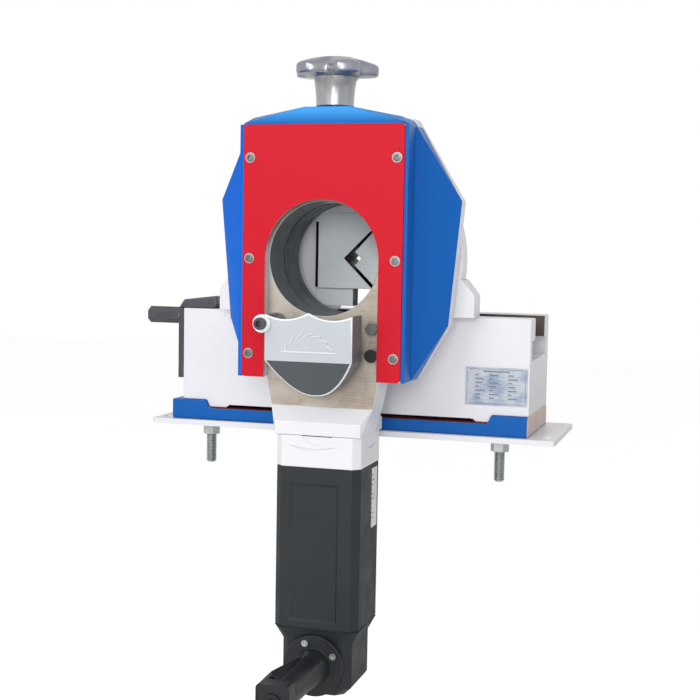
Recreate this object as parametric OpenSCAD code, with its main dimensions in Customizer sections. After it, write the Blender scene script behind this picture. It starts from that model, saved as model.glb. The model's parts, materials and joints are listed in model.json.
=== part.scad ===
// Orbital pipe cutting machine.
// A fixed vice carries a bearing housing; the cutting head turns in it round the clamped pipe.
// Frame: X across the front, Y away from the operator, Z up.
// The origin is the centre of the bench hole pattern, on the underside of the mounting plate.

/* [Pipe passage] */
// Height of the pipe axis above the underside of the mounting plate
axis_h = 197; // [190:1:215]
// Radius of the pipe passage, for pipe up to twice this across
bore_r = 60; // [50:0.5:61]
// Width of the front plate's arch beyond the pipe passage
arch_lip = 2; // [1:0.25:4]

/* [Cutting head] */
// Half width of the front plate
plate_hw = 87.7; // [86:0.5:95]
// Height of the block over the feed slide, up to the front plate's top edge
block_h = 13.4; // [11:0.2:20]
// Depth of the front plate's bottom edge below the pipe axis
plate_low = 126.6; // [122:0.5:132]
// Thickness of the front plate
plate_t = 3; // [2:0.25:5]
// Room between the slide's back and the head casting's rear wall
slide_room = 6; // [4:0.5:10]
// Thickness of the head casting's rear wall
head_wall = 20; // [16:0.5:24]
// Half width of the head at its widest corners
head_hw = 136; // [125:1:140]
// Height of the roof ridge above the front plate's top edge
roof_h = 19.3; // [16:0.5:26]
// Wall of the sheet covers
cover_t = 2.5; // [1.5:0.25:3.5]

/* [Feed slide] */
// Distance of the slide's machined face behind the front plate's face
slide_y = 10; // [9:0.5:14]
// Depth of the slide from its machined face to its back
slide_depth = 44; // [42:0.5:52]
// Height of the slide's top above the pipe passage
slide_over = 26; // [22:1:32]
// Depth of the slide's machined face below the front plate's bottom edge
slide_drop = 30.9; // [26:0.5:36]
// How far each side of the slide's foot is drawn in
slide_taper = 6; // [4:0.5:10]
// Travel of the slide towards the pipe from the stored place
feed_up = 40; // [20:1:46]
// Travel of the slide away from the pipe from the stored place
feed_down = 12; // [4:1:14]
// Radius of the feed screw
feed_screw_r = 8; // [6:0.5:10]
// Running clearance on radius between shafts and their bushes
run_gap = 0.06; // [0.02:0.01:0.1]
// Clearance beside sliding faces and covers
slide_gap = 0.3; // [0.2:0.05:0.4]

/* [Star knob] */
// Radius of the star knob at the tips of its lobes
knob_r = 46; // [38:1:54]
// Number of lobes of the star knob
knob_lobes = 5; // [4:1:7]
// Height of the knob's top above the roof ridge
knob_h = 54; // [46:1:64]

/* [Saw] */
// Radius of the saw blade
blade_r = 31.5; // [28:0.5:36]
// Thickness of the saw blade
blade_t = 1.6; // [1:0.1:2.5]
// Number of teeth of the saw blade
blade_teeth = 44; // [24:4:60]
// Depth of the saw arbor's axis below the pipe passage
arbor_drop = 33; // [31:0.5:38]
// Radius of the saw arbor
arbor_r = 8; // [6:0.5:9.5]
// Number of teeth of the crown wheel on the arbor
wheel_teeth = 32; // [24:8:40]
// Number of teeth of the motor pinion
pinion_teeth = 8; // [7:1:9]

/* [Blade guard] */
// Gap between the guard's side and the edge of the arch
guard_in = 15; // [13:0.5:18]
// Distance of the guard's front face ahead of the front plate
guard_out = 39; // [33:1:46]
// Wall of the guard casting
guard_wall = 3; // [2:0.25:4]
// Radius of the guard's pivot bolt
pivot_r = 4; // [3:0.25:5]

/* [Motor] */
// Half width of the motor housing
motor_hw = 47; // [42:0.5:52]
// Half width of the motor's rear housing
tail_hw = 39; // [34:0.5:42]
// Length of the motor housing
motor_len = 173; // [150:1:200]
// Length of the rear housing with its taper
tail_len = 74; // [64:1:86]
// Wall of the motor housing
motor_wall = 3; // [2:0.25:4]
// Radius of the motor shaft
shaft_r = 5; // [4:0.25:5.75]

/* [Handle] */
// Reach of the handle from the rear housing to its end
handle_len = 132; // [115:1:150]
// Width of the square end of the handle
handle_end_w = 35; // [32:0.5:40]

/* [Vice] */
// Length of the vice body beyond the left jaw's travel
vice_left_end = 42; // [36:1:50]
// Length of the vice body beyond the right jaw's travel
vice_right_end = 45.6; // [38:1:54]
// Depth of the vice body from front to back
vice_depth = 130; // [115:1:150]
// Depth of the vice body's top below the pipe axis
vice_top = 61.5; // [56:0.5:70]
// Width of the T slot's neck
slot_w = 67; // [58:1:76]
// Depth of the T slot's neck
slot_neck = 25; // [22:0.5:29]
// Width of the T slot's wide part
slot_wide = 105; // [92:1:112]
// Height of the T slot's wide part
slot_wide_h = 20; // [17:0.5:23]
// Radius of the vice screw
vice_screw_r = 10; // [8:0.5:11]
// Travel of each jaw
jaw_travel = 75; // [60:1:85]
// Depth of the jaw stack from front to back
jaw_depth = 50; // [42:1:58]

/* [Bench mounting] */
// Overhang of the mounting plate beyond the vice body's right end
bench_over = 30.4; // [26:0.5:40]
// Width of the mounting plate from front to back
bench_w = 154; // [140:1:175]
// Thickness of the mounting plate
bench_t = 6; // [5:0.5:8]
// Distance of the bench holes from the mounting plate's ends
hole_edge = 12; // [10:0.5:14]
// Spacing of the bench holes along Y
hole_dy = 110; // [92:1:120]
// Radius of the bench holes
hole_r = 5.5; // [4.5:0.5:6.5]
// Radius of the mounting studs
stud_r = 6; // [5:0.5:7]
// Half distance between the two front studs
stud_dx = 172; // [150:1:190]

/* [Hidden] */
$fn = 64;
soft_fn = 32;
cut = 1;                                // overrun of every cut
seat = 0.2;                             // gap between a loose piece and its seat
room = 2;                               // clearance of a hole that a shaft or a ring passes freely
corner_r = 4;
screw_head_r = 4.6;
screw_r = 2.5;
screw_head_t = 2.2;
bolt_head_r = 6.6;
bolt_head_t = 3;
small_head_r = 3.6;
small_hex_r = 1.5;
socket_r = 3.5;
// Slide, drive and head, from the pipe axis outwards and from the front to the back.
arch_r = bore_r + arch_lip;
slide_back = slide_y + slide_depth;
slide_top = bore_r + slide_over;
slide_low = plate_low + slide_drop;
slide_foot_hw = arch_r - slide_taper;
block_low = slide_top + feed_up + slide_gap;
plate_top = block_low + block_h;
ridge_h = plate_top + roof_h;
wall_y = slide_back + slide_room;
head_depth = wall_y + head_wall;
leg_x = arch_r + slide_gap;
tongue_share = 0.5;
tongue_x = arch_r + tongue_share * (plate_hw - arch_r);
tongue_in = 10;
tongue_y = slide_y + tongue_in;
tongue_t = slide_depth - 2 * tongue_in;
tongue_cover = 6.6;
tongue_low = plate_low - feed_down - tongue_cover;
screw_share = 0.7;
screw_x = arch_r + screw_share * (plate_hw - arch_r);
screw_top_in = 34.7;
screw_mid_z = -0.7;
screw_low_in = 24.9;
screw_z = [plate_top - screw_top_in, screw_mid_z, screw_low_in - plate_low];
roof_x = 24;                            // half width of the roof ridge
roof_y = 12;                            // where the roof's front slope ends
roof_in = 2;
roof_drop = 1.5;
shoulder_in = 3.7;
shoulder_x = plate_hw - shoulder_in;
shoulder_h = 9.3;
shoulder_z = plate_top + shoulder_h;
top_corner_h = 2.3;
top_corner_z = plate_top + top_corner_h;
flank_z = 63;
flank_in = 12;
lower_flank_x = head_hw - flank_in;
lower_flank_z = -69;
foot_corner_out = 2.3;
foot_corner_x = plate_hw + foot_corner_out;
cover_front_hw = plate_hw + seat;
band_out = 4.3;                         // how far the covers' straight band stands out beside the front plate
band_x = plate_hw + band_out;
band_y = 30;
// Saw and its drive.
arbor_z = bore_r + arbor_drop;
collar_lip = 4;
collar_r = arbor_r + collar_lip;
bearing_w = 8;
bearing_lip = 3;
rear_bearing_in = 2;
bearing_ring = 7;
arbor_bearing_r = arbor_r + bearing_ring;
arbor_in = 12;
arbor_front = arbor_in - guard_out;
blade_in = 19;
blade_y = blade_in - guard_out;
blade_nut_t = 5;
tooth_deep = 2.2;
tooth_tip_share = 0.12;
shaft_bearing_r = 13;
wheel_in = 4;
wheel_y = slide_y + bearing_w + wheel_in;
wheel_t = 11;
wheel_r = 23;
tooth_reach = 4;
tooth_share = 0.36;
tip_gap = 0.8;
root_gap = 0.6;
pinion_r = 6.2;
core_in = 1;
pinion_core_r = shaft_r - core_in;
pinion_h = 5;
tooth_h = tip_gap + pinion_r - pinion_core_r - root_gap;
drive_y = wheel_y + wheel_t + pinion_r + tip_gap;
nut_wall = 3;
nut_r = feed_screw_r + nut_wall;
nut_in = 4;
collar_h = 10;
cavity_drop = 49;
cavity_low = -arbor_z - cavity_drop;
cavity_wall = 6;
// Neck, flange and motor.
neck_h = 14.5;
neck_lip = slide_low + neck_h;
lip_h = 14;
flange_top = -neck_lip - lip_h;
flange_h = 34;
flange_low = flange_top - flange_h;
flange_hw = motor_hw;
flange_over = 1.5;
flange_back = head_depth + flange_over;
groove_r = 20;
motor_front_in = 3;
motor_front = drive_y + motor_front_in - motor_hw;
motor_back_in = 7;
motor_back = drive_y + motor_hw - motor_back_in;
motor_top = flange_low;
motor_low = motor_top - motor_len;
motor_bore_r = motor_hw - 3 * motor_wall;
tail_low = motor_low - tail_len;
tail_front = drive_y - tail_hw;
tail_bore_r = tail_hw - 2 * motor_wall;
taper_h = 16;
tail_foot = 10;
rotor_r = 22;
core_len = 80;
core_rise = 30;
core_low = motor_low + core_rise;
commutator_r = 13;
commutator_h = 15;
commutator_rise = 10;
commutator_low = motor_low + commutator_rise;
fan_in = 4;
fan_r = motor_bore_r - fan_in;
fan_hub_r = 12;
fan_hub_h = 10;
fan_t = 2;
fan_low = core_low + core_len + fan_hub_h;
fan_step = 40;
tail_bearing_rise = 30;
tail_bearing_low = tail_low + tail_bearing_rise;
panel_in = 10;
label_t = 0.4;
label_side_y = 45.5;
label_side_w = 20;
label_side_h = 65;
label_side_in = 5;
// Knob.
knob_top = ridge_h + knob_h;
lobe_r = 9;
stem_r = 20;
stem_mid_r = 21;
stem_top_r = 23.6;
stem_gap = 1.3;
stem_low = ridge_h + stem_gap;
stem_grip = 10;
crown_h = 8;
crown_r = 10;
rim_t = 12;
rim_high = knob_top - crown_h;
rim_low = rim_high - rim_t;
knob_screw_t = 1;
// Guard and what stands beside it.
guard_hw = arch_r - guard_in;
guard_rise = 36;
guard_top = guard_rise - arbor_z;
guard_side = 12;
guard_low = -arbor_z - guard_side;
guard_under = 18.5;
guard_tip = -arbor_z - blade_r - guard_under;
guard_clear = 2.8;
guard_rim_y = -screw_head_t - guard_clear;
guard_tip_y = -13;
guard_dip = 2.3;
guard_top_sag = 6;
guard_low_sag = 9;
guard_tip_hw = 3;
mouth_in = 3;
mouth_drop = 4;
mark_r = 29;
mark_h = 7;
mark_hw = 2;
mark_up = 10;
mark_first = 20;
mark_step = 23;
pivot_in = 12;
pivot_x = pivot_in - arch_r;
pivot_rise = 26;
pivot_z = pivot_rise - arbor_z;
boss_r = 9;
pivot_head_h = 10;
pivot_head_in = 2;
clamp_r = 7;
clamp_h = 6;
clamp_rise = 21;
clamp_z = clamp_rise - arbor_z;
button_in = 7.5;
button_x = arch_r - button_in;
button_drop = 7;
button_z = -arbor_z - button_drop;
button_r = 6.8;
// Handle.
handle_drop = 3;
handle_z = tail_low + tail_len / 2 - handle_drop;
flange_in = 4;
flange_r = tail_len / 2 - flange_in;
handle_rise = 2;
handle_end_z = handle_z + handle_rise;
handle_end_y = tail_front - handle_len;
handle_end_t = 18;
handle_root_r = 19;
handle_waist_r = 16;
waist_in = 49;
waist_y = tail_front - waist_in;
handle_flange_t = 7;
handle_screw_in = 7;
handle_screw_ring = flange_r - handle_screw_in;
inlet_r = 9;
inlet_depth = 10;
inlet_rim = 2.2;
lever_pin_in = 33;
lever_pin_y = tail_front - lever_pin_in;
lever_pin_z = 12;
lever_pin_r = 2.5;
lever_tip_in = 27;
lever_tip_y = handle_end_y + lever_tip_in;
lever_hw = 7;
lever_t = 6;
lever_back = 4;
lever_under = 3;
lever_over = 5;
lever_bend = 28;
lever_floor = 3;
lever_pocket_end = 10;
lever_tilt = 45;
switch_len = 26;
switch_t = 3;
// Bearing of the head, from the passage outwards and from the head to the vice.
hub_wall = 18;
hub_r = bore_r + hub_wall;
bush_wall = 6;
bush_r = hub_r + bush_wall;
keeper_lip = 10;
keeper_r = hub_r + keeper_lip;
housing_wall = 50;
housing_r = bush_r + housing_wall;
head_gap = 2;
housing_y = head_depth + head_gap;
bush_len = 16.4;
keeper_y = housing_y + bush_len;
keeper_t = 5;
keeper_room = 2.6;
vice_y = keeper_y + keeper_t + keeper_room;
housing_back = vice_y - seat;
// Vice, from the jaws outwards.
vice_mid_y = vice_y + vice_depth / 2;
front_to_centre = vice_mid_y;
jaw_front = 9;
jaw_low = -34;
jaw_high = 51;
jaw_gap = 3.4;
jaw_foot = 7.5;
jaw_foot_in = 5;
notch = 10;
cap_t = 9;
groove_h = 15;
groove_in = 3;
saddle_x = 44;
saddle_w = 40;
saddle_in = 17;
saddle_depth = vice_depth - 2 * saddle_in;
saddle_high = 55;
block_x = saddle_x + saddle_w + jaw_travel + cut;
vice_left = block_x + vice_left_end;
vice_right = block_x + vice_right_end;
screw_z0 = -vice_top - slot_neck / 2;
screw_collar_lip = 3;
hex_af = 17.6;
hex_len = 66;
end_plate_t = 6.5;
end_plate_rise = 10;
end_screw_in = 9;
bracket_h = 15;
trough_h = 15;
trough_x = 85;
foot_z = bench_t - axis_h;
foot_h = 14.7;
vice_low = foot_z + foot_h;
foot_pad_h = 23;
foot_pad_z = foot_z + foot_pad_h;
end_plate_low = vice_low + foot_pad_h + end_plate_rise;
foot_lip = 4;
foot_left_out = 12;
foot_pad_len = 30;
foot_pad_x = vice_left - foot_pad_len;
foot_right_len = 40.6;
foot_right_x = vice_right - foot_right_len;
pedestal_out = 13.5;
pedestal_x = housing_r + pedestal_out;
pedestal_in = 34;
pedestal_low_x = housing_r - pedestal_in;
pedestal_top_in = 24;
pedestal_h = 24.5;
pedestal_top = pedestal_h - vice_top;
pedestal_root_z = -20;
pedestal_back = vice_y + jaw_front - cut;
label_w = 68.4;
label_h = 41.4;
label_edge = 2.2;
label_up = 11;
label_x = vice_right - label_edge - label_w;
label_z = foot_pad_z + label_up + label_h;
label_plate_t = 1;
rivet_r = 1.6;
rivet_in = 3.2;
rivet_h = 0.5;
// Bench.
bench_hw = vice_right + bench_over;
hole_dx = 2 * (bench_hw - hole_edge);
stud_in = 16;
rear_stud_in = 21;
stud_drop = 42;
stud_up = 7.35;
nut_af = 3 * stud_r;
nut_h = 10;
washer_t = 2.5;
washer_r = 2 * stud_r;

// Everything below is drawn from the pipe axis at the front plate's face.
module head() translate([0, -front_to_centre, axis_h]) children();
// A cylinder along Y from y0 to y1.
module along_y(r, y0, y1, x = 0, z = 0)
  translate([x, y0, z]) rotate([-90, 0, 0]) cylinder(r = r, h = y1 - y0);
// A profile in X and Z, drawn from y0 to y1.
module slab(y0, y1) translate([0, y1, 0]) rotate([90, 0, 0]) linear_extrude(height = y1 - y0) children();
// A box from its lowest to its highest corner.
module block(a, b) translate(a) cube(b - a);
module both() { children(); mirror([1, 0, 0]) children(); }
function mirrored(pts) = concat(pts, [for (i = [len(pts) - 1:-1:0]) [-pts[i][0], pts[i][1]]]);
function head_outline(inset = 0) = mirrored([[foot_corner_x - inset, -plate_low], [lower_flank_x - inset,
  lower_flank_z], [head_hw - inset, flank_z], [shoulder_x - inset, shoulder_z - inset],
  [roof_x, ridge_h - inset]]);
module rounded(x, z0, z1, r) hull() for (sx = [-1, 1], z = [z0 + r, z1 - r])
  translate([sx * (x - r), z]) circle(r = r, $fn = soft_fn);

module mounting_plate() color("whitesmoke") difference() {
  linear_extrude(height = bench_t) hull() for (sx = [-1, 1], sy = [-1, 1])
    translate([sx * (bench_hw - corner_r), sy * (bench_w / 2 - corner_r)]) circle(r = corner_r);
  for (sx = [-1, 1], sy = [-1, 1]) translate([sx * hole_dx / 2, sy * hole_dy / 2, -cut])
    cylinder(r = hole_r, h = bench_t + 2 * cut);
  for (p = stud_places()) translate([p[0], p[1], -cut])
    cylinder(r = stud_r + slide_gap, h = bench_t + 2 * cut);
}
function stud_places() = [[-stud_dx, stud_in - vice_depth / 2], [stud_dx, stud_in - vice_depth / 2],
  [0, vice_depth / 2 - rear_stud_in]];
module mounting_studs() color("silver") for (p = stud_places())
  translate([p[0], p[1], bench_t - nut_h - stud_drop]) cylinder(r = stud_r, h = nut_h + stud_drop + stud_up);
module stud_nuts() color("dimgray") for (p = stud_places()) translate([p[0], p[1], -washer_t - nut_h])
  difference() {
    cylinder(d = nut_af / cos(30), h = nut_h, $fn = 6);
    translate([0, 0, -cut]) cylinder(r = stud_r, h = nut_h + 2 * cut);
  }
module stud_washers() color("silver") for (p = stud_places()) translate([p[0], p[1], -washer_t])
  difference() {
    cylinder(r = washer_r, h = washer_t);
    translate([0, 0, -cut]) cylinder(r = stud_r, h = washer_t + 2 * cut);
  }
module foot_profile() polygon([[-vice_left - foot_left_out, foot_z], [vice_right, foot_z],
  [vice_right, foot_pad_z], [foot_right_x, foot_pad_z], [foot_right_x - foot_lip, vice_low],
  [foot_lip - foot_pad_x, vice_low], [-foot_pad_x, foot_pad_z], [-vice_left - foot_left_out, foot_pad_z]]);
module foot_rail() color("royalblue") difference() {
  head() slab(vice_y - foot_lip, vice_y + vice_depth + foot_lip) foot_profile();
  for (p = stud_places()) translate([p[0], p[1], bench_t - cut]) cylinder(r = stud_r, h = cut + stud_up);
}
module vice_profile() difference() {
  polygon([[-vice_left, foot_pad_z], [-foot_pad_x, foot_pad_z], [foot_lip - foot_pad_x, vice_low],
    [foot_right_x - foot_lip, vice_low], [foot_right_x, foot_pad_z], [vice_right, foot_pad_z],
    [vice_right, -vice_top], [-vice_left, -vice_top]]);
  polygon([[-pedestal_x, vice_low - cut], [pedestal_x, vice_low - cut], [pedestal_x, vice_low],
    [pedestal_x - foot_lip, vice_low + plate_t], [foot_lip - pedestal_x, vice_low + plate_t],
    [-pedestal_x, vice_low]]);
}
module t_slot() {
  neck_y = vice_mid_y - slot_w / 2;
  wide_y = vice_mid_y - slot_wide / 2;
  neck_z = -vice_top - slot_neck;
  block([-vice_left - cut, neck_y, neck_z - cut], [vice_right + cut, neck_y + slot_w, cut - vice_top]);
  block([-vice_left - cut, wide_y, neck_z - slot_wide_h], [vice_right + cut, wide_y + slot_wide, neck_z]);
  translate([vice_right + cut, wide_y, neck_z - slot_wide_h]) rotate([0, -90, 0]) rotate([0, 0, 90])
    linear_extrude(height = trough_x) polygon([[0, cut], [trough_x - trough_h, cut],
      [trough_x - trough_h, 0], [trough_x / 2 - trough_h / 2, -trough_h], [0, 0]]);
}
module vice_body() color("white") head() difference() {
  slab(vice_y, vice_y + vice_depth) vice_profile();
  t_slot();
}
function end_screw_places() = [for (y = [vice_y + end_screw_in, vice_y + vice_depth - end_screw_in],
  z = [-vice_top - end_screw_in, end_plate_low + end_screw_in]) [y, z]];
module vice_end_plate() color("dimgray") head() difference() {
  block([-vice_left - end_plate_t, vice_y, end_plate_low],
    [-vice_left, vice_y + vice_depth, -vice_top]);
  translate([-vice_left - end_plate_t - cut, vice_mid_y, screw_z0]) rotate([0, 90, 0])
    cylinder(r = vice_screw_r + run_gap, h = end_plate_t + 2 * cut);
}
module end_plate_screws() color("gray") head() for (p = end_screw_places())
  translate([-vice_left - end_plate_t, p[0], p[1]]) rotate([0, -90, 0]) difference() {
    cylinder(r = screw_head_r, h = screw_head_t);
    translate([0, 0, screw_head_t - cut]) cylinder(r = screw_r, h = 2 * cut, $fn = 6);
  }
module screw_bracket() color("dimgray") head() slab(vice_y, vice_mid_y + saddle_depth / 2)
  polygon([[-vice_left - end_plate_t, -vice_top], [-block_x - foot_lip, -vice_top],
    [-block_x, bracket_h / 3 - vice_top], [-block_x - foot_lip / 2, bracket_h - vice_top],
    [-vice_left, 2 * bracket_h / 3 - vice_top]]);
module vice_screw() color("darkslategray") head() translate([0, vice_mid_y, screw_z0]) {
  rotate([0, 90, 0]) translate([0, 0, -vice_left - end_plate_t - slide_gap - screw_collar_lip])
    cylinder(r = vice_screw_r, h = vice_left + end_plate_t + slide_gap + screw_collar_lip + block_x);
  rotate([0, -90, 0]) translate([0, 0, vice_left + end_plate_t + slide_gap]) {
    cylinder(r = vice_screw_r + screw_collar_lip, h = screw_collar_lip);
    cylinder(d = hex_af / cos(30), h = hex_len, $fn = 6);
  }
}
// The left saddle; the right one is its mirror image.
module saddle() difference() {
  union() {
    y = vice_mid_y - saddle_depth / 2;
    neck_y = vice_mid_y - slot_w / 2 + slide_gap;
    wide_y = vice_mid_y - slot_wide / 2 + slide_gap;
    wide_top = -vice_top - slot_neck - slide_gap;
    block([-saddle_x - saddle_w, y, slide_gap - vice_top], [-saddle_x, y + saddle_depth, saddle_high]);
    block([-saddle_x - saddle_w, neck_y, wide_top - cut], [-saddle_x, neck_y + slot_w - 2 * slide_gap,
      slide_gap - vice_top + cut]);
    block([-saddle_x - saddle_w, wide_y, wide_top - slot_wide_h + 2 * slide_gap],
      [-saddle_x, wide_y + slot_wide - 2 * slide_gap, wide_top]);
  }
  translate([-saddle_x - saddle_w - cut, vice_mid_y, screw_z0]) rotate([0, 90, 0])
    cylinder(r = vice_screw_r + run_gap, h = saddle_w + 2 * cut);
}
module left_saddle() color("gainsboro") head() saddle();
module right_saddle() color("gainsboro") head() mirror([1, 0, 0]) saddle();
// The V side of a jaw, closing on the right.
module jaw_v() polygon([[-saddle_x, jaw_low], [-notch - jaw_low, jaw_low], [-notch, 0],
  [jaw_high - notch, jaw_high], [-saddle_x, jaw_high]]);
// The nose of a jaw, which enters the other jaw's V.
module jaw_nose() {
  flank = jaw_gap * sqrt(2) - notch;
  tip = (notch - flank) / 2;
  polygon([[saddle_x, jaw_low], [flank - jaw_low, jaw_low], [flank + tip, -tip], [notch, 0],
    [flank + tip, tip], [min(flank + jaw_high, saddle_x - jaw_gap / 4), jaw_high], [saddle_x, jaw_high]]);
}
module jaw_groove(y) block([-saddle_x - cut, y - cut, jaw_low + cut], [groove_in - saddle_x, y + groove_h,
  jaw_high - notch]);
module left_jaw() color("lightgray") head() difference() {
  y = vice_y + jaw_front;
  union() {
    slab(y, y + jaw_depth / 2 - seat) jaw_v();
    slab(y + jaw_depth / 2 - seat, y + jaw_depth / 2) square_back();
    slab(y + jaw_depth / 2 + seat, y + jaw_depth) mirror([1, 0, 0]) jaw_nose();
    block([-saddle_x, y + jaw_foot_in, jaw_foot - vice_top], [0, y + jaw_depth / 2 - seat, jaw_low]);
  }
  jaw_groove(y);
}
// What ties a jaw's two layers together, beside its saddle.
module square_back() translate([-saddle_x, jaw_low]) square([notch / 2, jaw_high - jaw_low]);
module right_jaw() color("lightgray") head() {
  y = vice_y + jaw_front;
  slab(y, y + jaw_depth / 2 - seat) jaw_nose();
  slab(y + jaw_depth / 2 - seat, y + jaw_depth / 2 + seat) mirror([1, 0, 0]) square_back();
  slab(y + jaw_depth / 2 + seat, y + jaw_depth) mirror([1, 0, 0]) jaw_v();
}
module left_jaw_cap() color("white") head() {
  y = vice_y + jaw_front;
  block([-saddle_x, y, jaw_high], [jaw_high - notch, y + jaw_depth / 2 - seat, jaw_high + cap_t]);
}
module right_jaw_cap() color("white") head() {
  y = vice_y + jaw_front + jaw_depth / 2 + seat;
  block([notch - jaw_high, y, jaw_high], [saddle_x, y + jaw_depth / 2 - seat, jaw_high + cap_t]);
}
module rating_plate() color("silver") head() block([label_x, vice_y - label_plate_t, label_z - label_h],
  [label_x + label_w, vice_y, label_z]);
module plate_rivets() color("silver") head() for (x = [label_x, label_x + label_w],
  z = [label_z, label_z - label_h]) {
  sx = x > label_x ? -1 : 1;
  sz = z < label_z ? 1 : -1;
  plate_y = vice_y - label_plate_t;
  along_y(rivet_r, plate_y - rivet_h, plate_y, x + sx * rivet_in, z + sz * rivet_in);
}
module bearing_housing() color("white") head() difference() {
  union() {
    along_y(housing_r, housing_y, housing_back);
    both() slab(housing_y, pedestal_back) polygon([[pedestal_low_x, seat - vice_top],
      [pedestal_x, seat - vice_top], [pedestal_x, pedestal_top], [housing_r, pedestal_root_z],
      [housing_r - pedestal_top_in, pedestal_root_z]]);
  }
  along_y(bush_r, housing_y - cut, housing_back + cut);
  along_y(keeper_r + room, keeper_y - slide_gap, housing_back + cut);
}
module housing_bolts() color("gray") head() both() for (a = [10, 60]) {
  x = (bush_r + housing_r) / 2 * cos(a);
  z = (bush_r + housing_r) / 2 * sin(a);
  difference() {
    along_y(bolt_head_r, housing_back, housing_back + bolt_head_t, x, z);
    along_y(socket_r, housing_back + cut, housing_back + bolt_head_t + cut, x, z);
  }
}
module ring_bush() color("darkgoldenrod") head() difference() {
  along_y(bush_r, housing_y, keeper_y - slide_gap);
  along_y(hub_r + run_gap, housing_y - cut, keeper_y + cut);
}
module head_hub() color("dimgray") head() difference() {
  along_y(hub_r, wall_y, keeper_y);
  along_y(bore_r, wall_y - cut, keeper_y + cut);
}
module hub_keeper() color("gray") head() difference() {
  along_y(keeper_r, keeper_y, keeper_y + keeper_t);
  along_y(bore_r, keeper_y - cut, keeper_y + keeper_t + cut);
}
module head_casting() color("white") head() difference() {
  union() {
    slab(wall_y, head_depth) polygon(head_outline());
    both() slab(plate_t, wall_y) polygon([[leg_x, -plate_low], [plate_hw, -plate_low],
      [plate_hw, plate_top], [leg_x, plate_top]]);
    block([-plate_hw, plate_t, block_low], [plate_hw, wall_y, plate_top]);
  }
  along_y(hub_r, wall_y - cut, head_depth + cut);
  both() block([leg_x - cut, tongue_y - slide_gap, -plate_low - cut], [tongue_x + slide_gap,
    tongue_y + tongue_t + slide_gap, block_low]);
  both() for (z = screw_z) along_y(screw_r, plate_t - cut, plate_t + 4 * screw_r, screw_x, z);
  translate([0, drive_y, block_low - cut]) cylinder(r = feed_screw_r + run_gap, h = plate_top);
}
// Outer skin of a side cover, pulled in by its wall for the inner skin.
module cover_skin(inset) {
  lo = inset > 0 ? cut : 0;
  block([cover_front_hw - lo, -lo, -plate_low + inset], [band_x - inset, band_y, plate_top - inset]);
  hull() {
    block([cover_front_hw - lo, band_y - cut, -plate_low + inset],
      [band_x - inset, wall_y + lo, plate_top - inset]);
    slab(wall_y - cut / 2, wall_y + lo) polygon([[cover_front_hw, -plate_low + inset],
      [foot_corner_x - inset / 4, -plate_low + inset], [lower_flank_x - inset, lower_flank_z],
      [head_hw - inset, flank_z], [shoulder_x + cut - inset, top_corner_z - inset],
      [cover_front_hw, plate_top - inset]]);
  }
}
module side_cover() difference() {
  intersection() {
    cover_skin(0);
    block([cover_front_hw, plate_t / 3, -plate_low], [head_hw, wall_y - seat, top_corner_z]);
  }
  intersection() {
    cover_skin(cover_t);
    block([cover_front_hw + cover_t, cover_t + plate_t, -plate_low + cover_t], [head_hw, wall_y + cut,
      top_corner_z - cover_t]);
  }
}
module left_cover() color("dodgerblue") head() mirror([1, 0, 0]) side_cover();
module right_cover() color("royalblue") head() side_cover();
module roof_outline(inset) polygon(mirrored([[plate_hw - inset, plate_top + seat],
  [shoulder_x - roof_in - inset, shoulder_z - roof_drop - inset], [roof_x, ridge_h - inset]]));
module top_cover() color("royalblue") head() difference() {
  hull() {
    slab(0, cover_t) polygon(mirrored([[plate_hw, plate_top + seat], [plate_hw, plate_top + seat + cut]]));
    slab(roof_y, wall_y - seat) roof_outline(0);
  }
  hull() {
    slab(2 * cover_t, 3 * cover_t) polygon(mirrored([[plate_hw - cover_t, plate_top + seat - cut],
      [plate_hw - cover_t, plate_top + cover_t / 2]]));
    slab(roof_y + cover_t, wall_y + cut) roof_outline(cover_t);
  }
  translate([0, drive_y, plate_top]) cylinder(r = feed_screw_r + room, h = ridge_h);
  block([-plate_hw + cover_t, 3 * cover_t, plate_top - cut], [plate_hw - cover_t, wall_y + cut,
    plate_top + 2 * seat]);
}
module front_plate() color("crimson") head() difference() {
  slab(0, plate_t) difference() {
    rounded(plate_hw, -plate_low, plate_top, corner_r);
    hull() { circle(r = arch_r, $fn = 96); translate([-arch_r, -plate_low - cut]) square([2 * arch_r, cut]); }
  }
  both() for (z = screw_z) along_y(screw_r, -cut, plate_t + cut, screw_x, z);
}
module front_plate_screws() color("gray") head() for (s = [-1, 1], z = screw_z) difference() {
  union() {
    along_y(screw_head_r, -screw_head_t, 0, s * screw_x, z);
    along_y(screw_r - seat, -cut, plate_t + 3 * screw_r, s * screw_x, z);
  }
  along_y(screw_r, -screw_head_t - cut, -screw_head_t / 3, s * screw_x, z);
}
// The slide runs in the head casting and carries the gears, the saw and the motor.
module slide_profile() polygon(mirrored([[slide_foot_hw, -slide_low], [arch_r, -plate_low],
  [arch_r, slide_top]]));
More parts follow.
